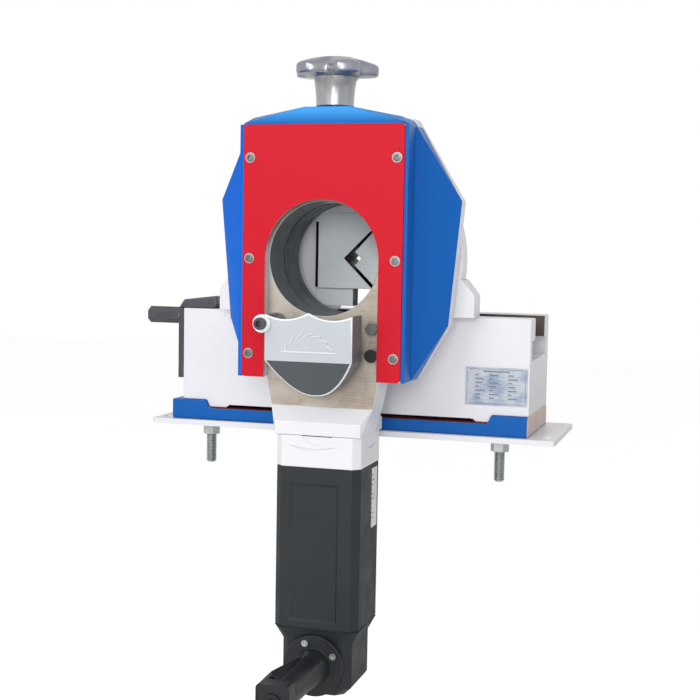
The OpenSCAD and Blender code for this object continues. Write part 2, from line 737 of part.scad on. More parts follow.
// The foot that the motor is bolted to, wider at its lower edge.
module neck_flange(back) hull() {
  block([-flange_hw - corner_r / 3, motor_front + corner_r, flange_top], [flange_hw + corner_r / 3,
    back - corner_r, flange_top + cut]);
  block([-flange_hw, motor_front, flange_top], [flange_hw, back, -neck_lip]);
}
module feed_slide() color("rosybrown") head() difference() {
  union() {
    slab(slide_y, slide_back) slide_profile();
    both() block([arch_r - cut, tongue_y, -tongue_low], [tongue_x, tongue_y + tongue_t, slide_top]);
    hull() {
      block([-slide_foot_hw, slide_y, -slide_low], [slide_foot_hw, slide_back, cut - slide_low]);
      neck_flange(slide_back);
    }
    neck_flange(flange_back);
  }
  along_y(bore_r, slide_y - cut, slide_back + cut);
  block([-wheel_r, slide_y + cavity_wall, cavity_low], [wheel_r, slide_back - cavity_wall,
    -arbor_z - wheel_r + cavity_wall]);
  along_y(wheel_r + tooth_reach / 2, wheel_y - tooth_h, slide_back - cavity_wall, 0, -arbor_z);
  along_y(arbor_bearing_r, slide_y - cut, slide_y + bearing_w, 0, -arbor_z);
  along_y(arbor_bearing_r - bearing_lip, slide_y, slide_back - cavity_wall, 0, -arbor_z);
  along_y(arbor_bearing_r - rear_bearing_in, slide_back - bearing_w, slide_back + cut, 0, -arbor_z);
  translate([0, drive_y, flange_top - cut]) {
    cylinder(r = shaft_bearing_r, h = bearing_w + cut);
    cylinder(r = shaft_bearing_r - bearing_lip, h = cavity_low - flange_top + 2 * cut);
  }
  translate([0, drive_y, bore_r - cut]) cylinder(r = nut_r, h = slide_top);
  along_y(pivot_r, slide_y - cut, slide_y + 5 * pivot_r, pivot_x, pivot_z);
  along_y(pivot_r, slide_y - cut, slide_y + 5 * pivot_r, button_x, clamp_z);
  along_y(pivot_r + run_gap, slide_y - cut, slide_y + 6 * pivot_r, button_x, button_z);
}
module feed_nut() color("darkgoldenrod") head() difference() {
  translate([0, drive_y, bore_r + nut_in]) cylinder(r = nut_r, h = slide_top - bore_r - nut_in);
  translate([0, drive_y, bore_r]) cylinder(r = feed_screw_r + run_gap, h = slide_top);
}
module feed_screw() color("silver") head() translate([0, drive_y, 0]) {
  translate([0, 0, bore_r + room]) cylinder(r = feed_screw_r, h = stem_low + stem_grip - bore_r - room);
}
module screw_collar() color("gray") head() translate([0, drive_y, plate_top + slide_gap]) difference() {
  cylinder(r = 2 * feed_screw_r, h = collar_h);
  translate([0, 0, -cut]) cylinder(r = feed_screw_r, h = collar_h + 2 * cut);
}
module star_knob() color("gainsboro") head() translate([0, drive_y, 0]) difference() {
  union() {
    rotate_extrude() polygon([[0, stem_low], [stem_r, stem_low], [stem_mid_r, (stem_low + rim_low) / 2],
      [stem_top_r, rim_low - rim_t / 6], [knob_r - 3 * lobe_r / 2, rim_low],
      [knob_r - 3 * lobe_r / 2, rim_high],
      [stem_r, knob_top - crown_h / 4], [crown_r, knob_top], [0, knob_top]]);
    for (i = [0:knob_lobes - 1]) rotate([0, 0, 90 + i * 360 / knob_lobes]) translate([0, 0, rim_low])
      linear_extrude(height = rim_high - rim_low) hull() {
        circle(r = lobe_r, $fn = soft_fn);
        translate([knob_r - lobe_r, 0]) circle(r = lobe_r, $fn = soft_fn);
      }
  }
  translate([0, 0, stem_low - cut]) cylinder(r = feed_screw_r, h = stem_grip + cut);
}
module knob_screw() color("dimgray") head() translate([0, drive_y, knob_top]) difference() {
  cylinder(r = screw_head_r, h = knob_screw_t);
  translate([0, 0, knob_screw_t / 2]) cylinder(r = screw_r, h = cut, $fn = 6);
}
// The saw side: arbor, crown wheel, blade and guard.
module arbor_line(y) translate([0, y, -arbor_z]) rotate([-90, 0, 0]) children();
module saw_arbor() color("silver") head() difference() {
  union() {
    along_y(arbor_r, arbor_front, slide_back - cut, 0, -arbor_z);
    along_y(collar_r, blade_y + blade_t / 2, slide_y - room, 0, -arbor_z);
  }
  along_y(arbor_r / 2, arbor_front - cut, arbor_front + arbor_r, 0, -arbor_z);
}
module arbor_front_bearing() color("gray") head() difference() {
  along_y(arbor_bearing_r, slide_y, slide_y + bearing_w, 0, -arbor_z);
  along_y(arbor_r + run_gap, slide_y - cut, slide_y + bearing_w + cut, 0, -arbor_z);
}
module arbor_rear_bearing() color("gray") head() difference() {
  along_y(arbor_bearing_r - rear_bearing_in, slide_back - bearing_w, slide_back, 0, -arbor_z);
  along_y(arbor_r + run_gap, slide_back - bearing_w - cut, slide_back + cut, 0, -arbor_z);
}
// The wheel's teeth stand on its rear face, in mesh with the pinion below the axis.
module crown_wheel() color("darkgray") head() arbor_line(wheel_y) {
  difference() {
    union() {
      cylinder(r = wheel_r, h = wheel_t);
      for (i = [0:wheel_teeth - 1]) rotate([0, 0, 90 + i * 360 / wheel_teeth])
        translate([wheel_r - tooth_reach, -tooth_w() / 2, wheel_t - cut])
        cube([tooth_reach - seat, tooth_w(), tooth_h + cut]);
    }
    translate([0, 0, -cut]) cylinder(r = arbor_r, h = wheel_t + 2 * cut);
  }
}
function tooth_w() = tooth_share * 2 * PI * (wheel_r - tooth_reach) / wheel_teeth;
module saw_blade() color("lightgray") head() arbor_line(blade_y - blade_t / 2) difference() {
  linear_extrude(height = blade_t) polygon([for (i = [0:blade_teeth - 1], k = [0, 1])
    let (a = (i + tooth_tip_share * k) * 360 / blade_teeth, r = blade_r - (1 - k) * tooth_deep)
    [r * cos(a), r * sin(a)]]);
  translate([0, 0, -cut]) cylinder(r = arbor_r, h = blade_t + 2 * cut);
}
module blade_nut() color("dimgray") head() arbor_line(blade_y - blade_t / 2 - blade_nut_t) difference() {
  cylinder(r = collar_r, h = blade_nut_t);
  translate([0, 0, -cut]) cylinder(r = arbor_r, h = blade_nut_t + 2 * cut);
}
// Front outline of the guard: two hollow arcs above, two full arcs below.
function arc_pts(p, q, sag, n = 8) = [for (i = [0:n]) let (t = i / n)
  [p[0] + (q[0] - p[0]) * t, p[1] + (q[1] - p[1]) * t + 4 * sag * t * (1 - t)]];
function guard_outline(inset) = concat(
  arc_pts([guard_hw - inset, guard_top + inset], [0, guard_top + guard_dip + inset], -guard_top_sag),
  arc_pts([0, guard_top + guard_dip + inset], [-guard_hw + inset, guard_top + inset], -guard_top_sag),
  arc_pts([-guard_hw + inset, guard_low], [inset - guard_tip_hw, guard_tip + inset], -guard_low_sag),
  arc_pts([guard_tip_hw - inset, guard_tip + inset], [guard_hw - inset, guard_low], -guard_low_sag));
module guard_solid(inset, y0, y1, y2) intersection() {
  slab(y0, y2) polygon(guard_outline(inset));
  rotate([90, 0, 90]) translate([0, 0, -guard_hw]) linear_extrude(height = 2 * guard_hw)
    polygon([[y0, guard_top + guard_rise], [y0, guard_low], [y1, guard_tip + inset], [y1, guard_tip - cut],
      [y2, guard_tip - cut], [y2, guard_top + guard_rise]]);
}
module blade_guard() color("lightslategray") head() difference() {
  union() {
    difference() {
      guard_solid(0, -guard_out, guard_tip_y, guard_rim_y);
      difference() {
        guard_solid(guard_wall, guard_wall - guard_out, guard_tip_y, guard_rim_y + cut);
        along_y(boss_r, -guard_out, guard_rim_y + cut, pivot_x, pivot_z);
      }
      block([-guard_hw + boss_r + mouth_in, guard_wall - guard_out, guard_top - mouth_drop],
        [guard_hw - guard_wall, guard_rim_y + cut, 0]);
    }
    along_y(boss_r, -guard_out, slide_y - slide_gap, pivot_x, pivot_z);
    for (i = [0:6]) translate([0, -guard_out, guard_low + mark_up])
      rotate([0, -mark_first - mark_step * i, 0])
        block([mark_r - mark_h, -cut, -mark_hw], [mark_r, cut / 2, mark_hw]);
    block([-mark_r - cut, -guard_out - cut, guard_low + mark_up - cut],
      [mark_r + cut, cut / 2 - guard_out, guard_low + mark_up]);
  }
  along_y(pivot_r + run_gap, -guard_out - cut, slide_y + cut, pivot_x, pivot_z);
}
module guard_pivot_bolt() color("dimgray") head() difference() {
  union() {
    along_y(pivot_r, -guard_out - cut, slide_y + 5 * pivot_r, pivot_x, pivot_z);
    along_y(boss_r + seat, -guard_out - seat - washer_t, -guard_out - seat, pivot_x, pivot_z);
    along_y(boss_r - pivot_head_in, -guard_out - pivot_head_h, -guard_out - washer_t, pivot_x, pivot_z);
  }
  along_y(socket_r, -guard_out - pivot_head_h - cut, -guard_out - pivot_head_h / 2, pivot_x, pivot_z);
}
module clamp_bolt() color("dimgray") head() {
  translate([button_x, slide_y - clamp_h, clamp_z]) rotate([-90, 0, 0])
    cylinder(r = clamp_r, h = clamp_h, $fn = 6);
  along_y(pivot_r, slide_y - cut, slide_y + 4 * pivot_r, button_x, clamp_z);
}
module lock_button() color("black") head() {
  along_y(button_r, slide_y - clamp_h, slide_y - clamp_h / 2, button_x, button_z);
  along_y(pivot_r, slide_y - clamp_h, slide_y + 4 * pivot_r, button_x, button_z);
}
// The motor hangs from the slide; its shaft drives the pinion.
module rounded_plan(hw, y0, y1, c) polygon([[-hw, y0 + c], [c - hw, y0], [hw - c, y0], [hw, y0 + c],
  [hw, y1 - c], [hw - c, y1], [c - hw, y1], [-hw, y1 - c]]);
module shaft_line() translate([0, drive_y, 0]) children();
module motor_flange() color("white") head() difference() {
  translate([0, 0, flange_low]) linear_extrude(height = flange_top - flange_low)
    rounded_plan(flange_hw, motor_front, flange_back, 2 * corner_r);
  shaft_line() translate([0, 0, flange_low - cut]) cylinder(r = shaft_bearing_r - bearing_lip, h = motor_len);
  along_y(groove_r, motor_front - cut, motor_front + cut, 0, flange_top + groove_r / 2);
}
module motor_housing() color("darkslategray") head() difference() {
  translate([0, 0, motor_low]) linear_extrude(height = motor_len)
    rounded_plan(motor_hw, motor_front, motor_back, 2 * corner_r);
  shaft_line() translate([0, 0, motor_low - cut]) cylinder(r = motor_bore_r, h = motor_len - 2 * motor_wall);
  shaft_line() translate([0, 0, motor_low]) cylinder(r = shaft_bearing_r - bearing_lip, h = motor_len + cut);
  block([-motor_hw / 2, motor_front - cut, motor_low + panel_in],
    [motor_hw / 2, motor_front + cut, motor_top - 2 * panel_in]);
}
module rear_housing() color("darkslategray") head() difference() {
  union() {
    hull() {
      translate([0, 0, motor_low - cut]) linear_extrude(height = cut)
        rounded_plan(motor_hw, motor_front, motor_back, 2 * corner_r);
      translate([0, 0, motor_low - taper_h]) linear_extrude(height = cut)
        rounded_plan(tail_hw, tail_front, drive_y + tail_hw, 2 * corner_r);
    }
    hull() {
      translate([0, 0, tail_low + tail_foot]) linear_extrude(height = tail_len - taper_h - tail_foot + cut)
        rounded_plan(tail_hw, tail_front, drive_y + tail_hw, 2 * corner_r);
      translate([0, 0, tail_low]) linear_extrude(height = cut) rounded_plan(tail_hw - tail_foot,
        tail_front + tail_foot / 2, drive_y + tail_hw - tail_foot / 2, 2 * corner_r);
    }
  }
  shaft_line() translate([0, 0, tail_low + 2 * tail_foot]) cylinder(r = tail_bore_r, h = tail_len);
  along_y(flange_r + seat, motor_front - cut, tail_front, 0, handle_z);
}
module armature() color("darkgoldenrod") head() shaft_line() {
  pinion_low = -arbor_z - wheel_r - cut;
  translate([0, 0, tail_bearing_low]) cylinder(r = shaft_r, h = pinion_low - tail_bearing_low);
  translate([0, 0, core_low]) cylinder(r = rotor_r, h = core_len);
  translate([0, 0, commutator_low]) cylinder(r = commutator_r, h = commutator_h);
  translate([0, 0, pinion_low]) {
    cylinder(r = pinion_core_r, h = pinion_h);
    for (i = [0:pinion_teeth - 1]) rotate([0, 0, 270 + (i + 0.5) * 360 / pinion_teeth])
      translate([pinion_core_r / 2, -tooth_w() / 2, 0])
        cube([pinion_r - pinion_core_r / 2, tooth_w(), pinion_h]);
  }
}
module stator() color("saddlebrown") head() shaft_line() translate([0, 0, core_low]) difference() {
  cylinder(r = motor_bore_r, h = core_len);
  translate([0, 0, -cut]) cylinder(r = rotor_r + cut, h = core_len + 2 * cut);
}
module motor_fan() color("dimgray") head() shaft_line() translate([0, 0, fan_low]) difference() {
  union() {
    cylinder(r = fan_hub_r, h = fan_hub_h);
    cylinder(r = fan_r, h = fan_t);
    for (a = [0:fan_step:360 - fan_step]) rotate([0, 0, a]) translate([fan_hub_r - cut, -fan_t / 2, 0])
      cube([fan_r - fan_hub_r, fan_t, fan_hub_h]);
  }
  translate([0, 0, -cut]) cylinder(r = shaft_r, h = fan_hub_h + 2 * cut);
}
module shaft_bearings() color("gray") head() shaft_line() {
  translate([0, 0, flange_top]) tube(shaft_bearing_r, shaft_r + run_gap, bearing_w);
  translate([0, 0, tail_bearing_low]) tube(tail_bore_r, shaft_r + run_gap, bearing_w);
}
module tube(r, bore, h) difference() {
  cylinder(r = r, h = h);
  translate([0, 0, -cut]) cylinder(r = bore, h = h + 2 * cut);
}
module motor_label() color("whitesmoke") head()
  block([motor_hw, label_side_y, motor_top - label_side_in - label_side_h],
    [motor_hw + label_t, label_side_y + label_side_w, motor_top - label_side_in]);
// The handle stands out towards the operator; its lever lies on the upper left.
module lever_side() translate([0, 0, handle_z]) rotate([0, -lever_tilt, 0]) children();
module handle() color("black") head() difference() {
  union() {
    along_y(flange_r, tail_front - handle_flange_t, tail_front, 0, handle_z);
    hull() {
      along_y(handle_root_r, tail_front - handle_flange_t - cut, tail_front - cut, 0, handle_z);
      along_y(handle_waist_r, waist_y, waist_y + cut, 0, handle_z);
    }
    hull() {
      along_y(handle_waist_r, waist_y, waist_y + cut, 0, handle_z);
      along_y(handle_waist_r - cut, handle_end_y + handle_end_t - 2 * cut, handle_end_y + handle_end_t,
        0, handle_z);
    }
    slab(handle_end_y, handle_end_y + handle_end_t) translate([0, handle_end_z]) offset(r = corner_r)
      square(handle_end_w - 2 * corner_r, center = true);
  }
  lever_side() {
    block([-lever_hw - slide_gap, lever_tip_y - slide_gap * 2, lever_floor], [lever_hw + slide_gap,
      lever_pin_y + lever_pocket_end, flange_r]);
    translate([-2 * lever_hw, lever_pin_y, lever_pin_z]) rotate([0, 90, 0])
      cylinder(r = lever_pin_r + run_gap, h = 4 * lever_hw);
  }
  along_y(inlet_r, handle_end_y - cut, handle_end_y + inlet_depth, 0, handle_end_z);
}
module handle_screws() color("silver") head() for (a = [30, 110, 250]) {
  x = handle_screw_ring * cos(a);
  z = handle_z + handle_screw_ring * sin(a);
  y = tail_front - handle_flange_t;
  difference() {
    along_y(small_head_r, y - screw_head_t, y, x, z);
    along_y(small_hex_r, y - screw_head_t - cut, y - screw_head_t / 3, x, z);
  }
}
module trigger() color("black") head() lever_side() {
  rotate([90, 0, 90]) translate([0, 0, -lever_hw]) linear_extrude(height = 2 * lever_hw)
    polygon([[lever_pin_y + lever_back, lever_pin_z - lever_under],
      [lever_pin_y + lever_back, lever_pin_z + lever_over],
      [lever_tip_y + 2 * lever_under, handle_waist_r + lever_t + lever_under],
      [lever_tip_y, handle_waist_r + lever_t], [lever_tip_y + lever_under, handle_waist_r - lever_under],
      [lever_pin_y - lever_bend, handle_waist_r - lever_under],
      [lever_pin_y - lever_over, lever_pin_z - lever_under]]);
  translate([cut - 2 * lever_hw, lever_pin_y, lever_pin_z]) rotate([0, 90, 0])
    cylinder(r = lever_pin_r, h = 4 * lever_hw - 2 * cut);
}
module trigger_switch() color("dimgray") head() lever_side()
  block([cut - lever_hw, lever_tip_y + lever_t, lever_floor],
    [lever_hw - cut, lever_tip_y + lever_t + switch_len, lever_floor + switch_t]);
module cable_inlet() color("dimgray") head() difference() {
  along_y(inlet_r, handle_end_y - inlet_rim, handle_end_y + inlet_depth, 0, handle_end_z);
  along_y(inlet_r / 2, handle_end_y - inlet_rim - cut, handle_end_y + inlet_depth + cut, 0, handle_end_z);
}

mounting_plate();
foot_rail();
vice_body();
vice_end_plate();
end_plate_screws();
screw_bracket();
vice_screw();
left_saddle();
right_saddle();
left_jaw();
right_jaw();
left_jaw_cap();
right_jaw_cap();
rating_plate();
plate_rivets();
mounting_studs();
stud_nuts();
stud_washers();
bearing_housing();
housing_bolts();
ring_bush();
head_hub();
hub_keeper();
head_casting();
left_cover();
right_cover();
top_cover();
front_plate();
front_plate_screws();
feed_slide();
feed_nut();
feed_screw();
screw_collar();
star_knob();
knob_screw();
saw_arbor();
arbor_front_bearing();
arbor_rear_bearing();
crown_wheel();
saw_blade();
blade_nut();
blade_guard();
guard_pivot_bolt();
clamp_bolt();
lock_button();
motor_flange();
motor_housing();
stator();
armature();
motor_fan();
shaft_bearings();
rear_housing();
motor_label();
handle();
handle_screws();
trigger();
trigger_switch();
cable_inlet();
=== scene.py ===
"""Looks of the orbital pipe cutting machine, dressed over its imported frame. Lengths are in metres."""
import json
from math import atan2, cos, pi, radians, sin

import bmesh
import bpy
from mathutils import Matrix, Vector

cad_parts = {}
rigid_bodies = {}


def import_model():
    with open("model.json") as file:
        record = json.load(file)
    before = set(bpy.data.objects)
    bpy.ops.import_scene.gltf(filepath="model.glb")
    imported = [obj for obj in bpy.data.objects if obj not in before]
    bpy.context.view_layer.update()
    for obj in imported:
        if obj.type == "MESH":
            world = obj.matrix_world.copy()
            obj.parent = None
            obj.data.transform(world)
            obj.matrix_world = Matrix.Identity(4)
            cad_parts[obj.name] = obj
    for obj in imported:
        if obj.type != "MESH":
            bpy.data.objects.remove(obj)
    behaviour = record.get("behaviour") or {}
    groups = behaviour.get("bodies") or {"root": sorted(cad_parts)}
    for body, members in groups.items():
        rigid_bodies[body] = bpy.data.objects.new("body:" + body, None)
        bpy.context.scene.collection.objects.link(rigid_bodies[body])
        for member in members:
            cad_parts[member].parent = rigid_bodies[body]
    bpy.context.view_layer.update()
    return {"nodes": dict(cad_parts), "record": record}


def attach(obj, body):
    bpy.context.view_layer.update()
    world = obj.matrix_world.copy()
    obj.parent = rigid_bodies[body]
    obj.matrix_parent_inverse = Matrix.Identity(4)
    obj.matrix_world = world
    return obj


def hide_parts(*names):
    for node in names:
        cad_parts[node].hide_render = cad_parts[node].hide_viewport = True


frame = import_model()

MM = 0.001
AXIS_HEIGHT = 197 * MM          # pipe axis above the underside of the mounting plate
FRONT_TO_CENTRE = 171 * MM      # front plate's face to the centre of the bench holes


def place(x, y, z):
    """A point given in millimetres from the pipe axis at the front plate's face."""
    return Vector((x * MM, y * MM - FRONT_TO_CENTRE, z * MM + AXIS_HEIGHT))


# Camera: the photograph's own view, as a turn, a tilt and a roll.
CAMERA_SPOT = place(425.1, -1302.8, 15.1)
CAMERA_TURN = 0.292
CAMERA_TILT = 0.080
CAMERA_ROLL = 0.018
PHOTO_WIDTH = 700
FOCAL_PIXELS = 1309.9
SENSOR_MM = 36


def make_camera():
    level_reach = cos(CAMERA_TILT)
    ahead = Vector((-sin(CAMERA_TURN) * level_reach, cos(CAMERA_TURN) * level_reach, -sin(CAMERA_TILT)))
    level = Vector((cos(CAMERA_TURN), sin(CAMERA_TURN), 0))
    upward = level.cross(ahead)
    right = cos(CAMERA_ROLL) * level + sin(CAMERA_ROLL) * upward
    top = cos(CAMERA_ROLL) * upward - sin(CAMERA_ROLL) * level
    data = bpy.data.cameras.new("camera")
    data.sensor_width = SENSOR_MM
    data.lens = FOCAL_PIXELS / PHOTO_WIDTH * SENSOR_MM
    data.clip_end = 20
    camera = bpy.data.objects.new("camera", data)
    turn = Matrix((right, top, -ahead)).transposed().to_4x4()
    camera.matrix_world = Matrix.Translation(CAMERA_SPOT) @ turn
    bpy.context.scene.collection.objects.link(camera)
    bpy.context.scene.camera = camera


make_camera()


# Materials. Every pattern reads object coordinates, which are metres.
class Finish:
    """A Principled material with helpers for the patterns that lie over it."""

    def __init__(self, name, colour, metallic=0.0, roughness=0.4, coat=0.0, coat_roughness=0.1, shine=0.5):
        self.name = name
        self.material = bpy.data.materials.new(name)
        self.material.use_nodes = True
        self.nodes = self.material.node_tree.nodes
        self.links = self.material.node_tree.links
        self.shader = self.nodes["Principled BSDF"]
        self.colour = colour
        self.shader.inputs["Base Color"].default_value = (*colour, 1)
        self.shader.inputs["Metallic"].default_value = metallic
        self.shader.inputs["Roughness"].default_value = roughness
        self.shader.inputs["Specular IOR Level"].default_value = shine
        self.shader.inputs["Coat Weight"].default_value = coat
        self.shader.inputs["Coat Roughness"].default_value = coat_roughness
        self.spot = self.nodes.new("ShaderNodeTexCoord").outputs["Object"]
        self.tone = None
        self.height = None

    def stretched(self, scale):
        mapping = self.nodes.new("ShaderNodeMapping")
        mapping.inputs["Scale"].default_value = scale
        self.links.new(self.spot, mapping.inputs["Vector"])
        return mapping.outputs["Vector"]

    def noise(self, scale, detail=3.0, stretch=None, rough=0.5):
        noise = self.nodes.new("ShaderNodeTexNoise")
        noise.inputs["Scale"].default_value = scale
        noise.inputs["Detail"].default_value = detail
        noise.inputs["Roughness"].default_value = rough
        source = self.stretched(stretch) if stretch else self.spot
        self.links.new(source, noise.inputs["Vector"])
        return noise.outputs["Fac"]

    def along(self, axis):
        """The object coordinate along "X", "Y" or "Z", in metres."""
        parts = self.nodes.new("ShaderNodeSeparateXYZ")
        self.links.new(self.spot, parts.inputs["Vector"])
        return parts.outputs[axis]

    def ramp(self, value, low, high, start=0.35, end=0.65):
        ramp = self.nodes.new("ShaderNodeMapRange")
        ramp.inputs["From Min"].default_value = start
        ramp.inputs["From Max"].default_value = end
        ramp.inputs["To Min"].default_value = low
        ramp.inputs["To Max"].default_value = high
        self.links.new(value, ramp.inputs["Value"])
        return ramp.outputs["Result"]

    def shade(self, value, colour, low=0.0, high=1.0, start=0.35, end=0.65):
        """Mixes another colour in where the value is high."""
        mix = self.nodes.new("ShaderNodeMix")
        mix.data_type = "RGBA"
        if self.tone is None:
            mix.inputs["A"].default_value = (*self.colour, 1)
        else:
            self.links.new(self.tone, mix.inputs["A"])
        mix.inputs["B"].default_value = (*colour, 1)
        self.links.new(self.ramp(value, low, high, start, end), mix.inputs["Factor"])
        self.tone = mix.outputs["Result"]
        self.links.new(self.tone, self.shader.inputs["Base Color"])
        return self

    def gloss(self, value, low, high, start=0.3, end=0.7):
        self.links.new(self.ramp(value, low, high, start, end), self.shader.inputs["Roughness"])
        return self

    def relief(self, value, strength, depth):
        bump = self.nodes.new("ShaderNodeBump")
        bump.inputs["Strength"].default_value = strength
        bump.inputs["Distance"].default_value = depth
        self.links.new(value, bump.inputs["Height"])
        if self.height is not None:
            self.links.new(self.height, bump.inputs["Normal"])
        self.height = bump.outputs["Normal"]
        self.links.new(self.height, self.shader.inputs["Normal"])
        return self


def linear(r, g, b):
    """A display colour from 0 to 255 as the linear colour that a shader takes."""
    def one(c):
        c = c / 255
        return c / 12.92 if c <= 0.04045 else ((c + 0.055) / 1.055) ** 2.4
    return one(r), one(g), one(b)


def tinted(colour, factor):
    return tuple(min(1.0, c * factor) for c in colour)


def enamel(name, colour, roughness=0.34, peel=0.06, shine=0.22, coat=0.1):
    """Sprayed gloss paint: faint clouding, dust in the coat, orange peel."""
    finish = Finish(name, colour, roughness=roughness, coat=coat, coat_roughness=0.12, shine=shine)
    finish.shade(finish.noise(9, 4), tinted(colour, 0.93), 0, 0.55)
    finish.shade(finish.noise(900, 3), tinted(colour, 0.9), 0, 0.3)
    finish.gloss(finish.noise(60, 3), roughness - 0.05, roughness + 0.1)
    finish.relief(finish.noise(520, 2), peel, 0.0003)
    return finish


def painted_light_enamel(name, colour, light, axis, start, end):
    """Sprayed paint with painted light: its tone runs out to a lighter one along an axis."""
    finish = enamel(name, colour, shine=0.08, coat=0.02)
    finish.shade(finish.along(axis), light, 0, 1, start * MM, end * MM)
    return finish


def cast_enamel(name, colour):
    """Paint over a filled casting: broad waviness under the orange peel."""
    finish = Finish(name, colour, roughness=0.38, coat=0.1, coat_roughness=0.2, shine=0.3)
    finish.shade(finish.noise(14, 5), tinted(colour, 0.93), 0, 0.6)
    finish.shade(finish.noise(700, 3), tinted(colour, 0.88), 0, 0.35)
    finish.gloss(finish.noise(40, 3), 0.3, 0.5)
    finish.relief(finish.noise(35, 3), 0.12, 0.0012)
    finish.relief(finish.noise(480, 2), 0.15, 0.0003)
    return finish


def turned(name, colour, roughness=0.3, along=(1, 1, 60), metallic=1.0, stain=0.75):
    """Machined metal: fine tool marks across one direction, light staining."""
    finish = Finish(name, colour, metallic, roughness)
    finish.shade(finish.noise(22, 4), tinted(colour, stain), 0, 0.7)
    marks = finish.noise(45, 4, along)
    finish.shade(marks, tinted(colour, 0.7), 0, 0.5)
    finish.gloss(finish.noise(70, 3), roughness - 0.07, roughness + 0.13)
    finish.relief(marks, 0.25, 0.0002)
    return finish


def ground(name, colour, stain):
    """A ground face gone brown: long grinding lines and blots of old oil."""
    finish = Finish(name, colour, 0.55, 0.42)
    lines = finish.noise(30, 5, (1.5, 1, 45))
    finish.shade(finish.noise(16, 5, rough=0.65), stain, 0, 0.85, 0.42, 0.68)
    finish.shade(finish.noise(90, 4), tinted(stain, 0.7), 0, 0.5, 0.58, 0.75)
    finish.shade(lines, tinted(colour, 1.25), 0, 0.4)
    finish.gloss(lines, 0.34, 0.55)
    finish.relief(lines, 0.3, 0.0002)
    return finish


def blasted(name, colour, roughness=0.42, metallic=0.75):
    """A blasted die casting: fine even grain with soft clouding."""
    finish = Finish(name, colour, metallic, roughness)
    finish.shade(finish.noise(12, 4), tinted(colour, 0.88), 0, 0.6)
    finish.shade(finish.noise(1500, 2), tinted(colour, 0.8), 0, 0.4)
    finish.gloss(finish.noise(300, 2), roughness - 0.06, roughness + 0.1)
    finish.relief(finish.noise(1700, 2), 0.22, 0.0002)
    return finish


def smudged(name, colour, stain):
    """Anodised sheet that has been wiped: broad blue blots and fine speckle."""
    finish = Finish(name, colour, 0.4, 0.34)
    finish.shade(finish.noise(45, 4), stain, 0, 0.8, 0.44, 0.6)
    finish.shade(finish.noise(700, 3), tinted(colour, 1.25), 0, 0.5, 0.5, 0.7)
    finish.gloss(finish.noise(300, 2), 0.28, 0.45)
    finish.relief(finish.noise(1200, 2), 0.15, 0.0002)
    return finish


def moulded(name, colour, roughness=0.55, grain=1400, depth=0.3, shine=0.35):
    """Glass-filled moulding: spark-eroded grain, dust and rubbed patches."""
    finish = Finish(name, colour, 0.0, roughness, shine=shine)
    finish.shade(finish.noise(18, 4), tinted(colour, 1.5), 0, 0.5)
    finish.shade(finish.noise(grain, 2), tinted(colour, 2.2), 0, 0.35, 0.55, 0.8)
    finish.gloss(finish.noise(35, 3), roughness - 0.1, roughness + 0.12)
    finish.relief(finish.noise(grain, 2), depth, 0.0003)
    return finish


def polished(name, colour, dark, start, end):
    """Hand polished casting with soft buffing haze, and a painted dark reflection towards its top, between
    two heights.
    """
    finish = Finish(name, colour, 0.85, 0.24)
    finish.shade(finish.along("Z"), dark, 0, 0.9, place(0, 0, start).z, place(0, 0, end).z)
    finish.shade(finish.noise(38, 4, (1, 1, 0.35)), tinted(dark, 1.3), 0, 0.6, 0.42, 0.6)
    finish.gloss(finish.noise(60, 4), 0.18, 0.34)
    finish.relief(finish.noise(90, 3), 0.08, 0.0004)
    return finish


